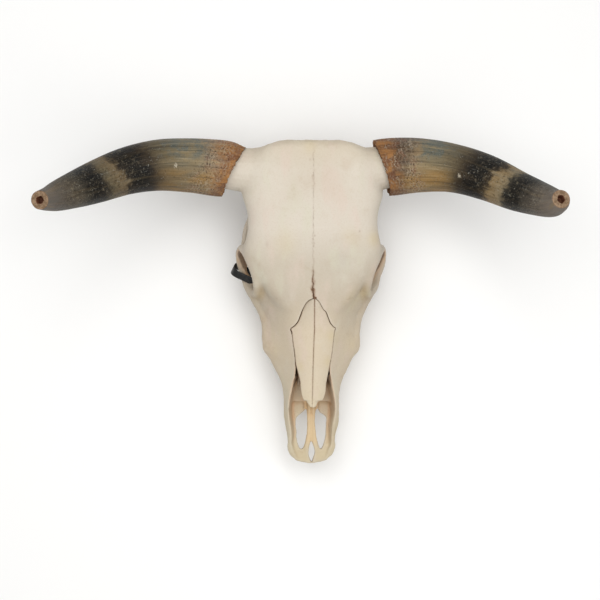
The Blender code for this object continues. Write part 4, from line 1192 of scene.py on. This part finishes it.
class ShapeTree(Nodes):
    # geometry nodes, with named sizes and a finish
    def __init__(self, title):
        super().__init__(bpy.data.node_groups.new(title, "GeometryNodeTree"))
        for way in ("INPUT", "OUTPUT"):
            self.tree.interface.new_socket("Geometry", in_out=way, socket_type="NodeSocketGeometry")
        self.start, self.end = (self.tree.nodes.new(f"NodeGroup{way}") for way in ("Input", "Output"))
        self.shape = Socket(self, self.start.outputs[0])

    def size(self, title, kind="Float"):
        self.tree.interface.new_socket(title, in_out="INPUT", socket_type=f"NodeSocket{kind}")
        return Socket(self, self.start.outputs[title])

    def named(self, title, kind="FLOAT"):
        return self.node("GeometryNodeInputNamedAttribute", {"data_type": kind}, {0: title})

    def clamp(self, value):
        return self.node("ShaderNodeClamp", None, {0: value})

    def finish(self, shape):
        whole = self.node("GeometryNodeRealizeInstances", None, {0: shape})
        dressed = self.node("GeometryNodeSetMaterial", None,
                            {"Geometry": whole, "Material": self.size("Finish", "Material")})
        self.join(dressed, self.end.inputs[0])
        return self

    def use(self, obj, values):
        # runs on an object and leaves the result as its plain mesh
        modifier = obj.modifiers.new("growth", "NODES")
        modifier.node_group = self.tree
        for item in self.tree.interface.items_tree:
            if item.item_type == "SOCKET" and item.in_out == "INPUT" and item.name in values:
                modifier[item.identifier] = values[item.name]
        mesh = evaluated(obj, keepAll=True)
        obj.modifiers.clear()
        obj.data = mesh
        mesh.shade_smooth()


hornGrowth = {
    "Ring height": 0.00050, "Ring spacing": 0.0052, "Rings fade at": 0.085, "Fibre depth": 0.00022,
    "Flake depth": 0.00045, "Lumps": 0.0007, "Seed": 3,
}


def hornTree():
    # growth rings near the skull, lengthwise fibres, and scales between them
    tree = ShapeTree("hornGrowth")
    ringHeight, ringSpacing, fadeAt, fibreDepth, flakeDepth, lumps = (
        tree.size(title) for title in list(hornGrowth)[:6])
    seed = tree.size("Seed", "Int")
    lie, fromEdge, part = tree.named("lie", "FLOAT_VECTOR"), tree.named("fromEdge"), tree.named("part")

    def noise(stretch, scale, detail, offset):
        place = tree.node("ShaderNodeVectorMath", {"operation": "MULTIPLY"}, {0: lie, 1: (1, 1, stretch)})
        return tree.node("ShaderNodeTexNoise", {"noise_dimensions": "4D"},
                         {"Vector": place, "W": seed + offset, "Scale": scale, "Detail": detail}) - 0.5

    # a step up and a slow run down for each ring
    wave = tree.math("FRACT", (fromEdge + noise(0.6, 60, 2, 0.1) * 0.012) / ringSpacing)
    rings = tree.math("POWER", wave, 1.8) * tree.clamp(1.0 - fromEdge / fadeAt) * ringHeight * -1.0
    fibres = noise(0.06, 420, 3, 7.3) * fibreDepth
    flakes = tree.math("MINIMUM", noise(0.5, 160, 4, 2.9), 0.06) * flakeDepth
    total = (rings + fibres + (flakes + noise(0.7, 30, 2, 4.4) * lumps)) * tree.clamp(fromEdge * 150.0)
    onWall = tree.node("FunctionNodeCompare", {"data_type": "FLOAT", "operation": "LESS_THAN"},
                       {"A": part, "B": 0.5})
    offset = tree.node("ShaderNodeVectorMath", {"operation": "SCALE"},
                       {0: tree.node("GeometryNodeInputNormal"), "Scale": total})
    return tree.finish(tree.node("GeometryNodeSetPosition", None,
                                 {"Geometry": tree.shape, "Selection": onWall, "Offset": offset}))


def addHorn(side, horn, tree):
    finish = hornFinish(f"horn_{side}", side)
    obj = sheathMesh(f"hornSheath_{side}", side, horn)
    tree.use(obj, {**hornGrowth, "Finish": finish})
    dress(obj, finish, "horn", f"horn_{side}")


# strap tag round the left cheekbone
strap = {
    "Width": 0.0120, "Thickness": 0.0014, "Corner": 0.00045,
    "centre": (-103.5, 207, 97.5), "halfAcross": 0.0240, "halfDeep": 0.0163, "turn": -26, "tilt": 24,
    "dots": 96, "square": 3.2, "wave": 0.0005,
}


def strapTree():
    # a flat closed strap along the guide line, with rounded long edges
    tree = ShapeTree("strap")
    width, thickness, corner = (tree.size(title) for title in ("Width", "Thickness", "Corner"))
    line = tree.node("GeometryNodeMeshToCurve", None, {"Mesh": tree.shape})
    upright = tree.node("GeometryNodeSetCurveNormal", {"mode": "Z_UP"}, {"Curve": line})
    outline = tree.node("GeometryNodeCurvePrimitiveQuadrilateral", None,
                        {"Width": thickness, "Height": width})
    rounded = tree.node("GeometryNodeFilletCurve", {"mode": "POLY"}, {0: outline, 1: 3, 2: corner})
    return tree.finish(tree.node("GeometryNodeCurveToMesh", None,
                                 {"Curve": upright, "Profile Curve": rounded}))


def addStrap(finish):
    bm = bmesh.new()
    dots = []
    for i in range(strap["dots"]):
        t = 2 * math.pi * i / strap["dots"]
        ct, st = math.cos(t), math.sin(t)
        square = (abs(ct) ** strap["square"] + abs(st) ** strap["square"]) ** (-1 / strap["square"])
        dots.append(bm.verts.new((square * ct * strap["halfAcross"], square * st * strap["halfDeep"],
                                  strap["wave"] * math.sin(3 * t + 0.5))))
    for a, b in zip(dots, dots[1:] + dots[:1]):
        bm.edges.new((a, b))
    obj = addObject("strapTag", bm)
    strapTree().use(obj, {**strap, "Finish": finish})
    obj.data.transform(skullToFloor @ Matrix.Translation(at(*strap["centre"]))
                       @ Matrix.Rotation(math.radians(strap["turn"]), 4, "Z")
                       @ Matrix.Rotation(math.radians(90 + strap["tilt"]), 4, "X"))
    obj.data.shade_smooth()
    dress(obj, finish, "band", "tag_band")


# finishes; colours are as a screen shows them, 0 to 255
def shade(colour):
    # a colour as the shader wants it; one that doesn't pass 1 is that already
    if max(colour) <= 1:
        return colour
    return tuple(c / 12.92 if c <= 0.04045 else ((c + 0.055) / 1.055) ** 2.4
                 for c in (v / 255 for v in colour))


class Finish(Nodes):
    # one material; over() lays colours on what is there
    def __init__(self, title):
        self.material = bpy.data.materials.new(title)
        self.material.use_nodes = True
        super().__init__(self.material.node_tree)
        self.shader = self.tree.nodes["Principled BSDF"]

    def attribute(self, title, output="Fac"):
        return self.node("ShaderNodeAttribute", {"attribute_name": title}, output=output)

    def part(self, vector, axis):
        return self.node("ShaderNodeSeparateXYZ", None, {0: vector}, axis)

    def place(self, size=(1, 1, 1)):
        # object coordinates, stretched
        return self.node("ShaderNodeMapping", None,
                         {"Vector": self.node("ShaderNodeTexCoord", output="Object"), "Scale": size})

    def noise(self, place, scale, detail=3.0, rough=0.55, warp=0.0):
        return self.node("ShaderNodeTexNoise", None, {"Vector": place, "Scale": scale, "Detail": detail,
                                                      "Roughness": rough, "Distortion": warp})

    def ease(self, value, low, high, a=0.0, b=1.0):
        # goes softly from a to b as value goes from low to high
        return self.node("ShaderNodeMapRange", {"interpolation_type": "SMOOTHSTEP"},
                         {"Value": value, "From Min": low, "From Max": high, "To Min": a, "To Max": b})

    def mix(self, amount, a, b):
        return self.node("ShaderNodeMix", {"data_type": "RGBA"}, {0: amount, 6: a, 7: b}, 2)

    def over(self, amount, colour):
        self.colour = self.mix(amount, self.colour, colour)

    def ramp(self, value, stops):
        made = self.node("ShaderNodeValToRGB", None, {"Fac": value}, "Color")
        ramp = made.link.node.color_ramp
        while len(ramp.elements) > 1:
            ramp.elements.remove(ramp.elements[-1])
        for k, (place, colour) in enumerate(stops):
            stop = ramp.elements[0] if k == 0 else ramp.elements.new(place)
            stop.position, stop.color = place, (*shade(colour), 1)
        return made

    def bump(self, height, distance, strength=1.0, after=None):
        inputs = {"Height": height, "Distance": distance, "Strength": strength}
        return self.node("ShaderNodeBump", None, {**inputs, "Normal": after} if after else inputs, "Normal")

    def give(self, roughness, normal=None, gloss=None):
        values = {"Base Color": self.colour, "Roughness": roughness, "Normal": normal,
                  "Specular IOR Level": gloss}
        for title, value in values.items():
            if value is not None:
                self.join(value, self.shader.inputs[title])
        return self.material


boneLooks = {
    # colours along the skull, by the frame's y, from the muzzle to the poll
    "length": [(-0.255, (205, 193, 163)), (-0.19, (205, 192, 164)), (-0.12, (202, 188, 165)),
               (-0.05, (198, 184, 161)), (0.0, (185, 173, 154)), (0.05, (187, 177, 160)),
               (0.11, (202, 193, 179)), (0.20, (203, 194, 179)), (0.25, (197, 185, 164))],
    "pale": {"stainShare": 0.16, "rough": 0.50}, "nasal": {"stainShare": 0.12, "rough": 0.50},
    "mid": {"stainShare": 0.26, "rough": 0.54}, "deep": {"stainShare": 0.34, "rough": 0.58},
    "white": (204, 197, 183), "pink": (206, 187, 174), "green": (197, 194, 172),
    # (162, 137, 101) colours real stains and also painted shade in hollows; (199, 164, 130) is painted shade
    # in the eye and nose openings, and the pores' colour; (88, 63, 42) is the darkest painted shadow
    "yellow": (197, 179, 136), "grey": (178, 172, 159), "stainAndShade": (162, 137, 101),
    "cave": (199, 164, 130), "paintedShadow": (88, 63, 42), "seam": (120, 84, 57), "ochre": (212, 183, 139),
}


def boneFinish(title, look):
    f = Finish(title)
    values, paint = boneLooks[look], boneLooks
    place = f.place()
    openAir, bulge, mark, tone, cave = (
        f.attribute(name) for name in ("open", "bulge", "mark", "tone", "cave"))
    side, along, height = (f.part(place, axis) for axis in range(3))
    low, high = paint["length"][0][0], paint["length"][-1][0]
    f.colour = f.ramp((along - low) / (high - low),
                      [((y - low) / (high - low), colour) for y, colour in paint["length"]])
    # faint pinkish and greenish bands that run lengthwise, then softer clouds
    bands = f.noise(f.place((1, 0.30, 1)), 34, 3, 0.55)
    f.over(f.ease(bands, 0.52, 0.72, 0, 0.42), paint["pink"])
    f.over(f.ease(bands, 0.48, 0.30, 0, 0.42), paint["green"])
    cloud = f.noise(place, 26, 4, 0.6, 0.3)
    f.over(f.ease(cloud, 0.54, 0.76) * values["stainShare"], paint["stainAndShade"])
    f.over(f.ease(cloud, 0.46, 0.26, 0, 0.30), paint["white"])
    # yellow and grey patches that a table places
    f.over(f.ease(tone, 0.0, 0.75, 0, 0.75), paint["yellow"])
    f.over(f.ease(tone, 0.0, -0.75, 0, 0.75), paint["grey"])
    f.over(f.ease(height, 0.115, 0.055, 0, 0.30), paint["stainAndShade"])  # the underside is browner
    fine = f.noise(place, 420, 3, 0.6)
    f.over(f.ease(fine, 0.48, 0.72, 0.0, 0.13), paint["stainAndShade"])
    # painted shade on the walls of the eye and nose openings, and a darker painted shadow behind the brow, in
    # the upper corners of the nose openings and under the nasal tips
    f.over(f.ease(cave, 0.0, 1.0) * f.ease(openAir, 0.99, 0.70, 0.45, 0.95), paint["cave"])
    f.over(f.ease(cave, 1.0, 2.0, 0, 0.7), paint["paintedShadow"])
    # painted shade in cracks and hollows, darkest deep in them
    hollow = f.ease(openAir, 0.93, 0.45)
    f.over(hollow * 0.42, paint["stainAndShade"])
    f.over(f.ease(openAir, 0.55, 0.15) * 0.85, paint["paintedShadow"])
    f.over(f.ease(bulge, 0.10, 0.9, 0, 0.22), paint["white"])
    if look == "deep":
        # the bar between the nostrils is ochre
        ahead = f.ease(along, -0.125, -0.165) * f.ease(along, -0.236, -0.216)
        middle = f.ease(side, 0.010, 0.013) * f.ease(side, 0.034, 0.030)
        f.over(ahead * middle * 0.62, paint["ochre"])
    broken = f.noise(place, 260, 3, 0.7)
    f.over(mark * f.ease(broken, 0.28, 0.62, 0.55, 1.0), paint["seam"])
    # fine pores in loose groups
    pores = f.ease(f.noise(place, 900, 2, 0.5), 0.64, 0.74) * f.ease(f.noise(place, 60, 3), 0.50, 0.70)
    f.over(pores * 0.40, paint["cave"])
    normal = f.bump(f.noise(place, 150, 4, 0.6), 0.0006, 0.35)
    normal = f.bump(f.noise(f.place((1, 0.35, 1)), 900, 3, 0.65), 0.0002, 0.5, normal)
    normal = f.bump(pores, -0.0003, 0.6, normal)
    return f.give(values["rough"] + f.ease(fine, 0.3, 0.7) * 0.12 + hollow * 0.15, normal, 0.30)


def toothFinish():
    f = Finish("toothEnamel")
    height, hard = f.attribute("height"), f.attribute("hard")
    streaks = f.noise(f.place((1, 1, 0.18)), 520, 3, 0.6)
    f.colour = f.mix(f.ease(streaks, 0.35, 0.7), (214, 202, 176), (186, 164, 124))
    f.over(f.ease(f.noise(f.place(), 90, 4), 0.5, 0.70, 0, 0.38), (128, 98, 62))
    # the worn face, and the roots
    f.over(f.ease(height, -0.004, -0.0015), f.mix(f.ease(hard, 0.1, 0.6), (150, 116, 74), (228, 219, 198)))
    f.over(f.ease(height, -0.020, -0.034, 0, 0.8), (112, 86, 56))
    return f.give(0.34 + f.ease(streaks, 0.3, 0.7) * 0.25, f.bump(streaks, 0.0004, 0.5))


hornLooks = {
    # colours outwards from the skull, as (share of the length, colour)
    "left": [(0.09, (158, 106, 54)), (0.125, (150, 104, 62)), (0.16, (142, 106, 72)), (0.20, (144, 118, 88)),
             (0.25, (124, 112, 88)), (0.31, (112, 104, 84)), (0.37, (96, 86, 65)), (0.415, (84, 73, 54)),
             (0.455, (44, 36, 27)), (0.485, (18, 16, 14)), (0.54, (10, 10, 9)), (0.57, (36, 30, 22)),
             (0.60, (104, 88, 64)), (0.65, (92, 82, 62)), (0.69, (30, 28, 25)), (0.715, (12, 12, 12)),
             (0.75, (13, 13, 12)), (0.785, (54, 50, 42)), (0.84, (78, 70, 58)), (0.92, (86, 79, 71)),
             (1.0, (98, 91, 84))],
    "right": [(0.03, (140, 92, 50)), (0.085, (136, 88, 50)), (0.13, (116, 80, 52)), (0.17, (84, 62, 44)),
              (0.215, (98, 79, 58)), (0.245, (136, 114, 84)), (0.30, (122, 111, 86)),
              (0.37, (106, 94, 70)), (0.435, (82, 71, 52)), (0.475, (48, 39, 28)), (0.52, (16, 14, 12)),
              (0.58, (10, 10, 9)), (0.61, (50, 41, 29)), (0.635, (130, 109, 76)), (0.685, (132, 117, 90)),
              (0.715, (50, 46, 38)), (0.74, (13, 13, 12)), (0.79, (13, 13, 12)), (0.825, (52, 48, 42)),
              (0.88, (84, 77, 68)), (1.0, (108, 99, 90))],
    "nearSkull": {"left": (0.070, 0.045), "right": (0.072, 0.052)},  # where the crossed lines fade
    "rust": {"left": (0.030, 0.004), "right": (0.034, 0.004)},  # where the rusty rim fades
    "chips": {"left": (0.152, -0.08, 0.0034), "right": (0.182, 0.26, 0.0042)},  # along, turn, size
}


def hornFinish(title, side):
    f = Finish(title)
    along, fromEdge, part = f.attribute("along"), f.attribute("fromEdge"), f.attribute("part")
    lie = f.attribute("lie", "Vector")  # a direction round the horn, and the length along it
    roundX, roundY = f.part(lie, 0), f.part(lie, 1)

    def noise(stretch, offset, *how, across=1):
        place = f.node("ShaderNodeVectorMath", {"operation": "MULTIPLY_ADD"},
                       {0: lie, 1: (across, across, stretch), 2: (offset,) * 3})
        return f.noise(place, *how)

    def lineAt(value, period, thin):
        # thin lines each period, with soft sides
        return f.ease(f.math("PINGPONG", value, period / 2), thin, 0.0)

    fibre = noise(0.030, 0.0, 420, 4, 0.60)
    cords = noise(0.050, 1.3, 130, 4, 0.60)
    broad = noise(0.28, 2.1, 42, 3, 0.5, 0.3)
    blotch = noise(0.8, 3.7, 70, 4, 0.62, 0.5)
    speck = noise(1.2, 5.1, 330, 4, 0.66, 0.4)
    grit = noise(1.0, 6.3, 720, 3, 0.6)
    # from minus one at the lower edge to one at the upper
    upper = roundY * (25.0 if side == "left" else -25.0)
    late = f.ease(along, 0.42, 0.60)  # the outer half is mottled more than streaked
    f.colour = f.ramp(along - upper * 0.022 + (blotch - 0.5) * 0.095 + (cords - 0.5) * 0.055, hornLooks[side])
    paleness = f.ease(f.node("ShaderNodeRGBToBW", None, {0: f.colour}), 0.03, 0.16, 0.22, 1.0)
    # lengthwise: olive and blue-grey areas, golden low down and blue-grey higher up
    f.over(f.ease(broad, 0.52, 0.70, 0, 0.45) * paleness, (132, 108, 66))
    f.over(f.ease(broad, 0.47, 0.32, 0, 0.45) * paleness, (84, 88, 84))
    inner = f.ease(along, 0.16, 0.24) * f.ease(along, 0.46, 0.36)
    f.over(f.ease(upper, 0.0, -0.5) * inner * f.ease(broad, 0.35, 0.60, 0.25, 0.75), (146, 112, 62))
    f.over(f.ease(upper, -0.1, 0.5) * inner * f.ease(blotch, 0.42, 0.60, 0.1, 0.75), (84, 92, 88))
    # tan and near-black streaks
    smooth = f.ease(along, 0.97, 0.88)
    streaked = smooth * (1 - late * 0.55)
    f.over(f.ease(cords, 0.47, 0.33) * 0.62 * streaked, (46, 38, 30))
    f.over(f.ease(cords, 0.56, 0.70) * paleness * (1 - late * 0.6) * 0.46, (158, 138, 102))
    f.over(f.ease(fibre, 0.46, 0.34) * 0.48 * streaked, (44, 37, 30))
    f.over(f.ease(fibre, 0.56, 0.68) * paleness * (1 - late * 0.5) * 0.40, (176, 160, 128))
    # the layers near the skull: pale rings crossed by pale fibres, dark between them
    wobble = noise(0.5, 7.7, 75, 3)
    nearSkull = f.ease(fromEdge, *hornLooks["nearSkull"][side]) * f.ease(blotch, 0.30, 0.50)
    rings = lineAt(fromEdge + (wobble - 0.5) * 0.020 + (blotch - 0.5) * 0.014, 0.0068, 0.0021)
    crossed = lineAt(f.math("ARCTAN2", roundY, roundX) + (wobble - 0.5) * 0.46 + (blotch - 0.5) * 0.34,
                     0.135, 0.036)
    f.over(f.ease(speck, 0.50, 0.34) * nearSkull * 0.85, (48, 33, 26))
    f.over(f.ease(blotch, 0.50, 0.62) * nearSkull * 0.40, (118, 70, 42))
    pale = f.math("MAXIMUM", rings * f.ease(speck, 0.34, 0.50), crossed * f.ease(speck, 0.38, 0.54) * 0.8)
    worn = noise(1.0, 4.4, 58, 4, 0.6)
    pale = pale * f.ease(grit, 0.34, 0.60, 0.25, 1.0) * f.ease(worn, 0.42, 0.58, 0.22, 1.0)
    f.over(pale * nearSkull * 0.74, (188, 170, 146))
    # the rusty rim, with redder and darker spots
    rim = f.ease(fromEdge + (blotch - 0.5) * 0.045 + (cords - 0.5) * 0.02, *hornLooks["rust"][side])
    rust = f.mix(f.ease(blotch, 0.42, 0.62), (158, 112, 66), (112, 76, 52))
    rust = f.mix(f.ease(cords * 0.5 + fibre * 0.5, 0.51, 0.40, 0, 0.7), rust, (84, 52, 32))
    f.over(rim * (1 - pale * nearSkull * 0.7) * 0.80, rust)
    # light-grey flecks on the dark bands, dark grit on the pale ones
    mottle = noise(1.5, 8.9, 150, 4, 0.7, 0.8)
    f.over(f.ease(mottle, 0.54, 0.68) * late * smooth * 0.42, (128, 118, 98))
    f.over(f.ease(mottle, 0.46, 0.32) * late * smooth * 0.65, (30, 26, 22))
    f.over(f.ease(speck, 0.58, 0.67) * f.ease(blotch, 0.42, 0.56) * smooth * 0.55, (146, 144, 134))
    f.over(f.ease(speck, 0.42, 0.30) * 0.6 * smooth, (36, 30, 25))
    f.over(f.ease(grit, 0.60, 0.72) * paleness * 0.28, (168, 156, 134))
    # one pale chip
    chipAt, chipTurn, chipSize = hornLooks["chips"][side]
    chip = f.node("ShaderNodeVectorMath", {"operation": "DISTANCE"},
                  {0: lie, 1: (0.04 * math.cos(chipTurn), 0.04 * math.sin(chipTurn), chipAt)}, "Value")
    f.over(f.ease(chip + (speck - 0.5) * 0.016, chipSize, chipSize * 0.4) * 0.7, (186, 176, 156))
    # inside the sheath, the sawn end and its hole
    f.over(f.ease(part, 0.2, 0.8), (112, 76, 48))
    rays = noise(1, 0.0, 120, 4, 0.7, across=3)
    grain = f.noise(f.place(), 230, 4, 0.65)
    sawn = f.mix(f.ease(rays * 0.25 + grain * 0.75, 0.42, 0.58), (112, 90, 68), (146, 122, 98))
    f.over(f.ease(part, 1.2, 1.8), sawn)
    f.over(f.ease(part, 2.3, 2.8), f.mix(f.ease(rays, 0.4, 0.6), (72, 42, 32), (116, 74, 50)))
    normal = f.bump(fibre * 0.5 + cords * 0.8, 0.0012, 0.6)
    normal = f.bump(speck + pale * nearSkull * 0.8, 0.0009, f.ease(along, 0.97, 0.85, 0.25, 0.8), normal)
    normal = f.bump(grit, 0.0003, 0.6, normal)
    return f.give(0.42 + f.ease(speck, 0.35, 0.7) * 0.26 + rim * 0.15, normal, 0.14)


def strapFinish():
    f = Finish("blackStrap")
    # lighter grey scuffs and rub marks: wear, and also a painted grey sheen on the black strap
    scuffsAndSheen, rubAndSheen = f.noise(f.place(), 260, 4, 0.7), f.noise(f.place(), 70, 3, 0.5)
    f.colour = f.mix(f.ease(scuffsAndSheen, 0.58, 0.74) * 0.35, (20, 20, 21), (70, 69, 66))
    f.over(f.ease(rubAndSheen, 0.54, 0.74) * 0.30, (92, 90, 84))
    ribs = f.noise(f.place((1, 1, 4)), 700, 2)
    return f.give(0.34 + f.ease(scuffsAndSheen, 0.35, 0.7) * 0.25, f.bump(ribs * 0.5 + scuffsAndSheen, 0.0002, 0.6))


# the pieces
finishes = {"pale": boneFinish("paleBone", "pale"), "nasal": boneFinish("nasalBone", "nasal"),
            "mid": boneFinish("tanBone", "mid"), "deep": boneFinish("agedBone", "deep")}
kinds = {  # start of a solid's name: look, slot
    "forehead": ("pale", "pale_bone"), "maxilla": ("mid", "bone"), "cheekbone": ("mid", "bone"),
    "braincase": ("deep", "aged_bone"), "incisive": ("deep", "aged_bone"), "vomer": ("deep", "aged_bone"),
}
whole, caves = boneMass()
whole = muzzleOpened(whole)
weathered(whole)
nasalBone, nasalBed, nasalMiddle = nasalSpace(nasalPlace)
whole[nasalPlace] = softMax(whole[nasalPlace], -nasalBed, 0.0003)
blurred = whole.copy()
soften(blurred, 10)
bonePieces(whole, blurred)
blurred[nasalPlace] = nasalBone
soften(blurred[nasalPlace], 3)
nasalPieces(blurred, nasalBone, nasalMiddle)
print("skull: bones parted")
enamel, tree = toothFinish(), hornTree()
for side in horns:
    addTeeth(side, enamel)
for side, horn in horns.items():
    addHorn(side, horn, tree)
print("teeth and horns added")
addStrap(strapFinish())
print("strap added")

# floor, light and camera
studio = {
    "floor": (0.90, 0.90, 0.89), "specks": (0.84, 0.84, 0.83), "air": (1.0, 0.99, 0.98), "sky": 0.42,
    # power, size, place
    "lamps": {"mainLamp": (34, 2.0, (-0.3, 0.45, 2.4)), "fillLamp": (23, 2.2, (0.6, -0.6, 2.2))},
    # the camera's distance, what it sees across, where it looks on the skull, and its tilt
    "distance": 2.5, "across": 0.930, "aim": (-0.021, -0.248, 0), "tilt": -2,
}


def addStudio():
    bm = bmesh.new()
    bmesh.ops.create_grid(bm, x_segments=1, y_segments=1, size=4)
    floor = addObject("studioFloor", bm)
    floor.data.transform(Matrix.Translation((0, 0, -0.0002)))
    f = Finish("studioPaper")
    f.colour = f.mix(f.ease(f.noise(f.place(), 30, 2), 0.3, 0.7) * 0.03, studio["floor"], studio["specks"])
    floor.data.materials.append(f.give(0.95))
    world = bpy.data.worlds.new("studio")
    world.use_nodes = True
    background = world.node_tree.nodes["Background"].inputs
    background[0].default_value, background[1].default_value = (*studio["air"], 1), studio["sky"]
    bpy.context.scene.world = world
    for name, (power, size, place) in studio["lamps"].items():
        light = bpy.data.lights.new(name, "AREA")
        light.energy, light.size = power, size
        turn = Vector(place).to_track_quat("Z", "Y").to_matrix().to_4x4()
        addObject(name, light).matrix_world = Matrix.Translation(place) @ turn


def addCamera():
    camera = bpy.data.cameras.new("camera")
    camera.sensor_width, camera.lens = 36, 36 * studio["distance"] / studio["across"]
    eye = addObject("camera", camera)
    eye.matrix_world = (skullToFloor @ Matrix.Translation(studio["aim"])
                        @ Matrix.Rotation(math.radians(studio["tilt"]), 4, "Y")
                        @ Matrix.Translation((0, 0, studio["distance"])))
    bpy.context.scene.camera = eye
    bpy.context.scene.view_settings.view_transform = "Standard"


addStudio()
addCamera()
print("floor, light and camera added")
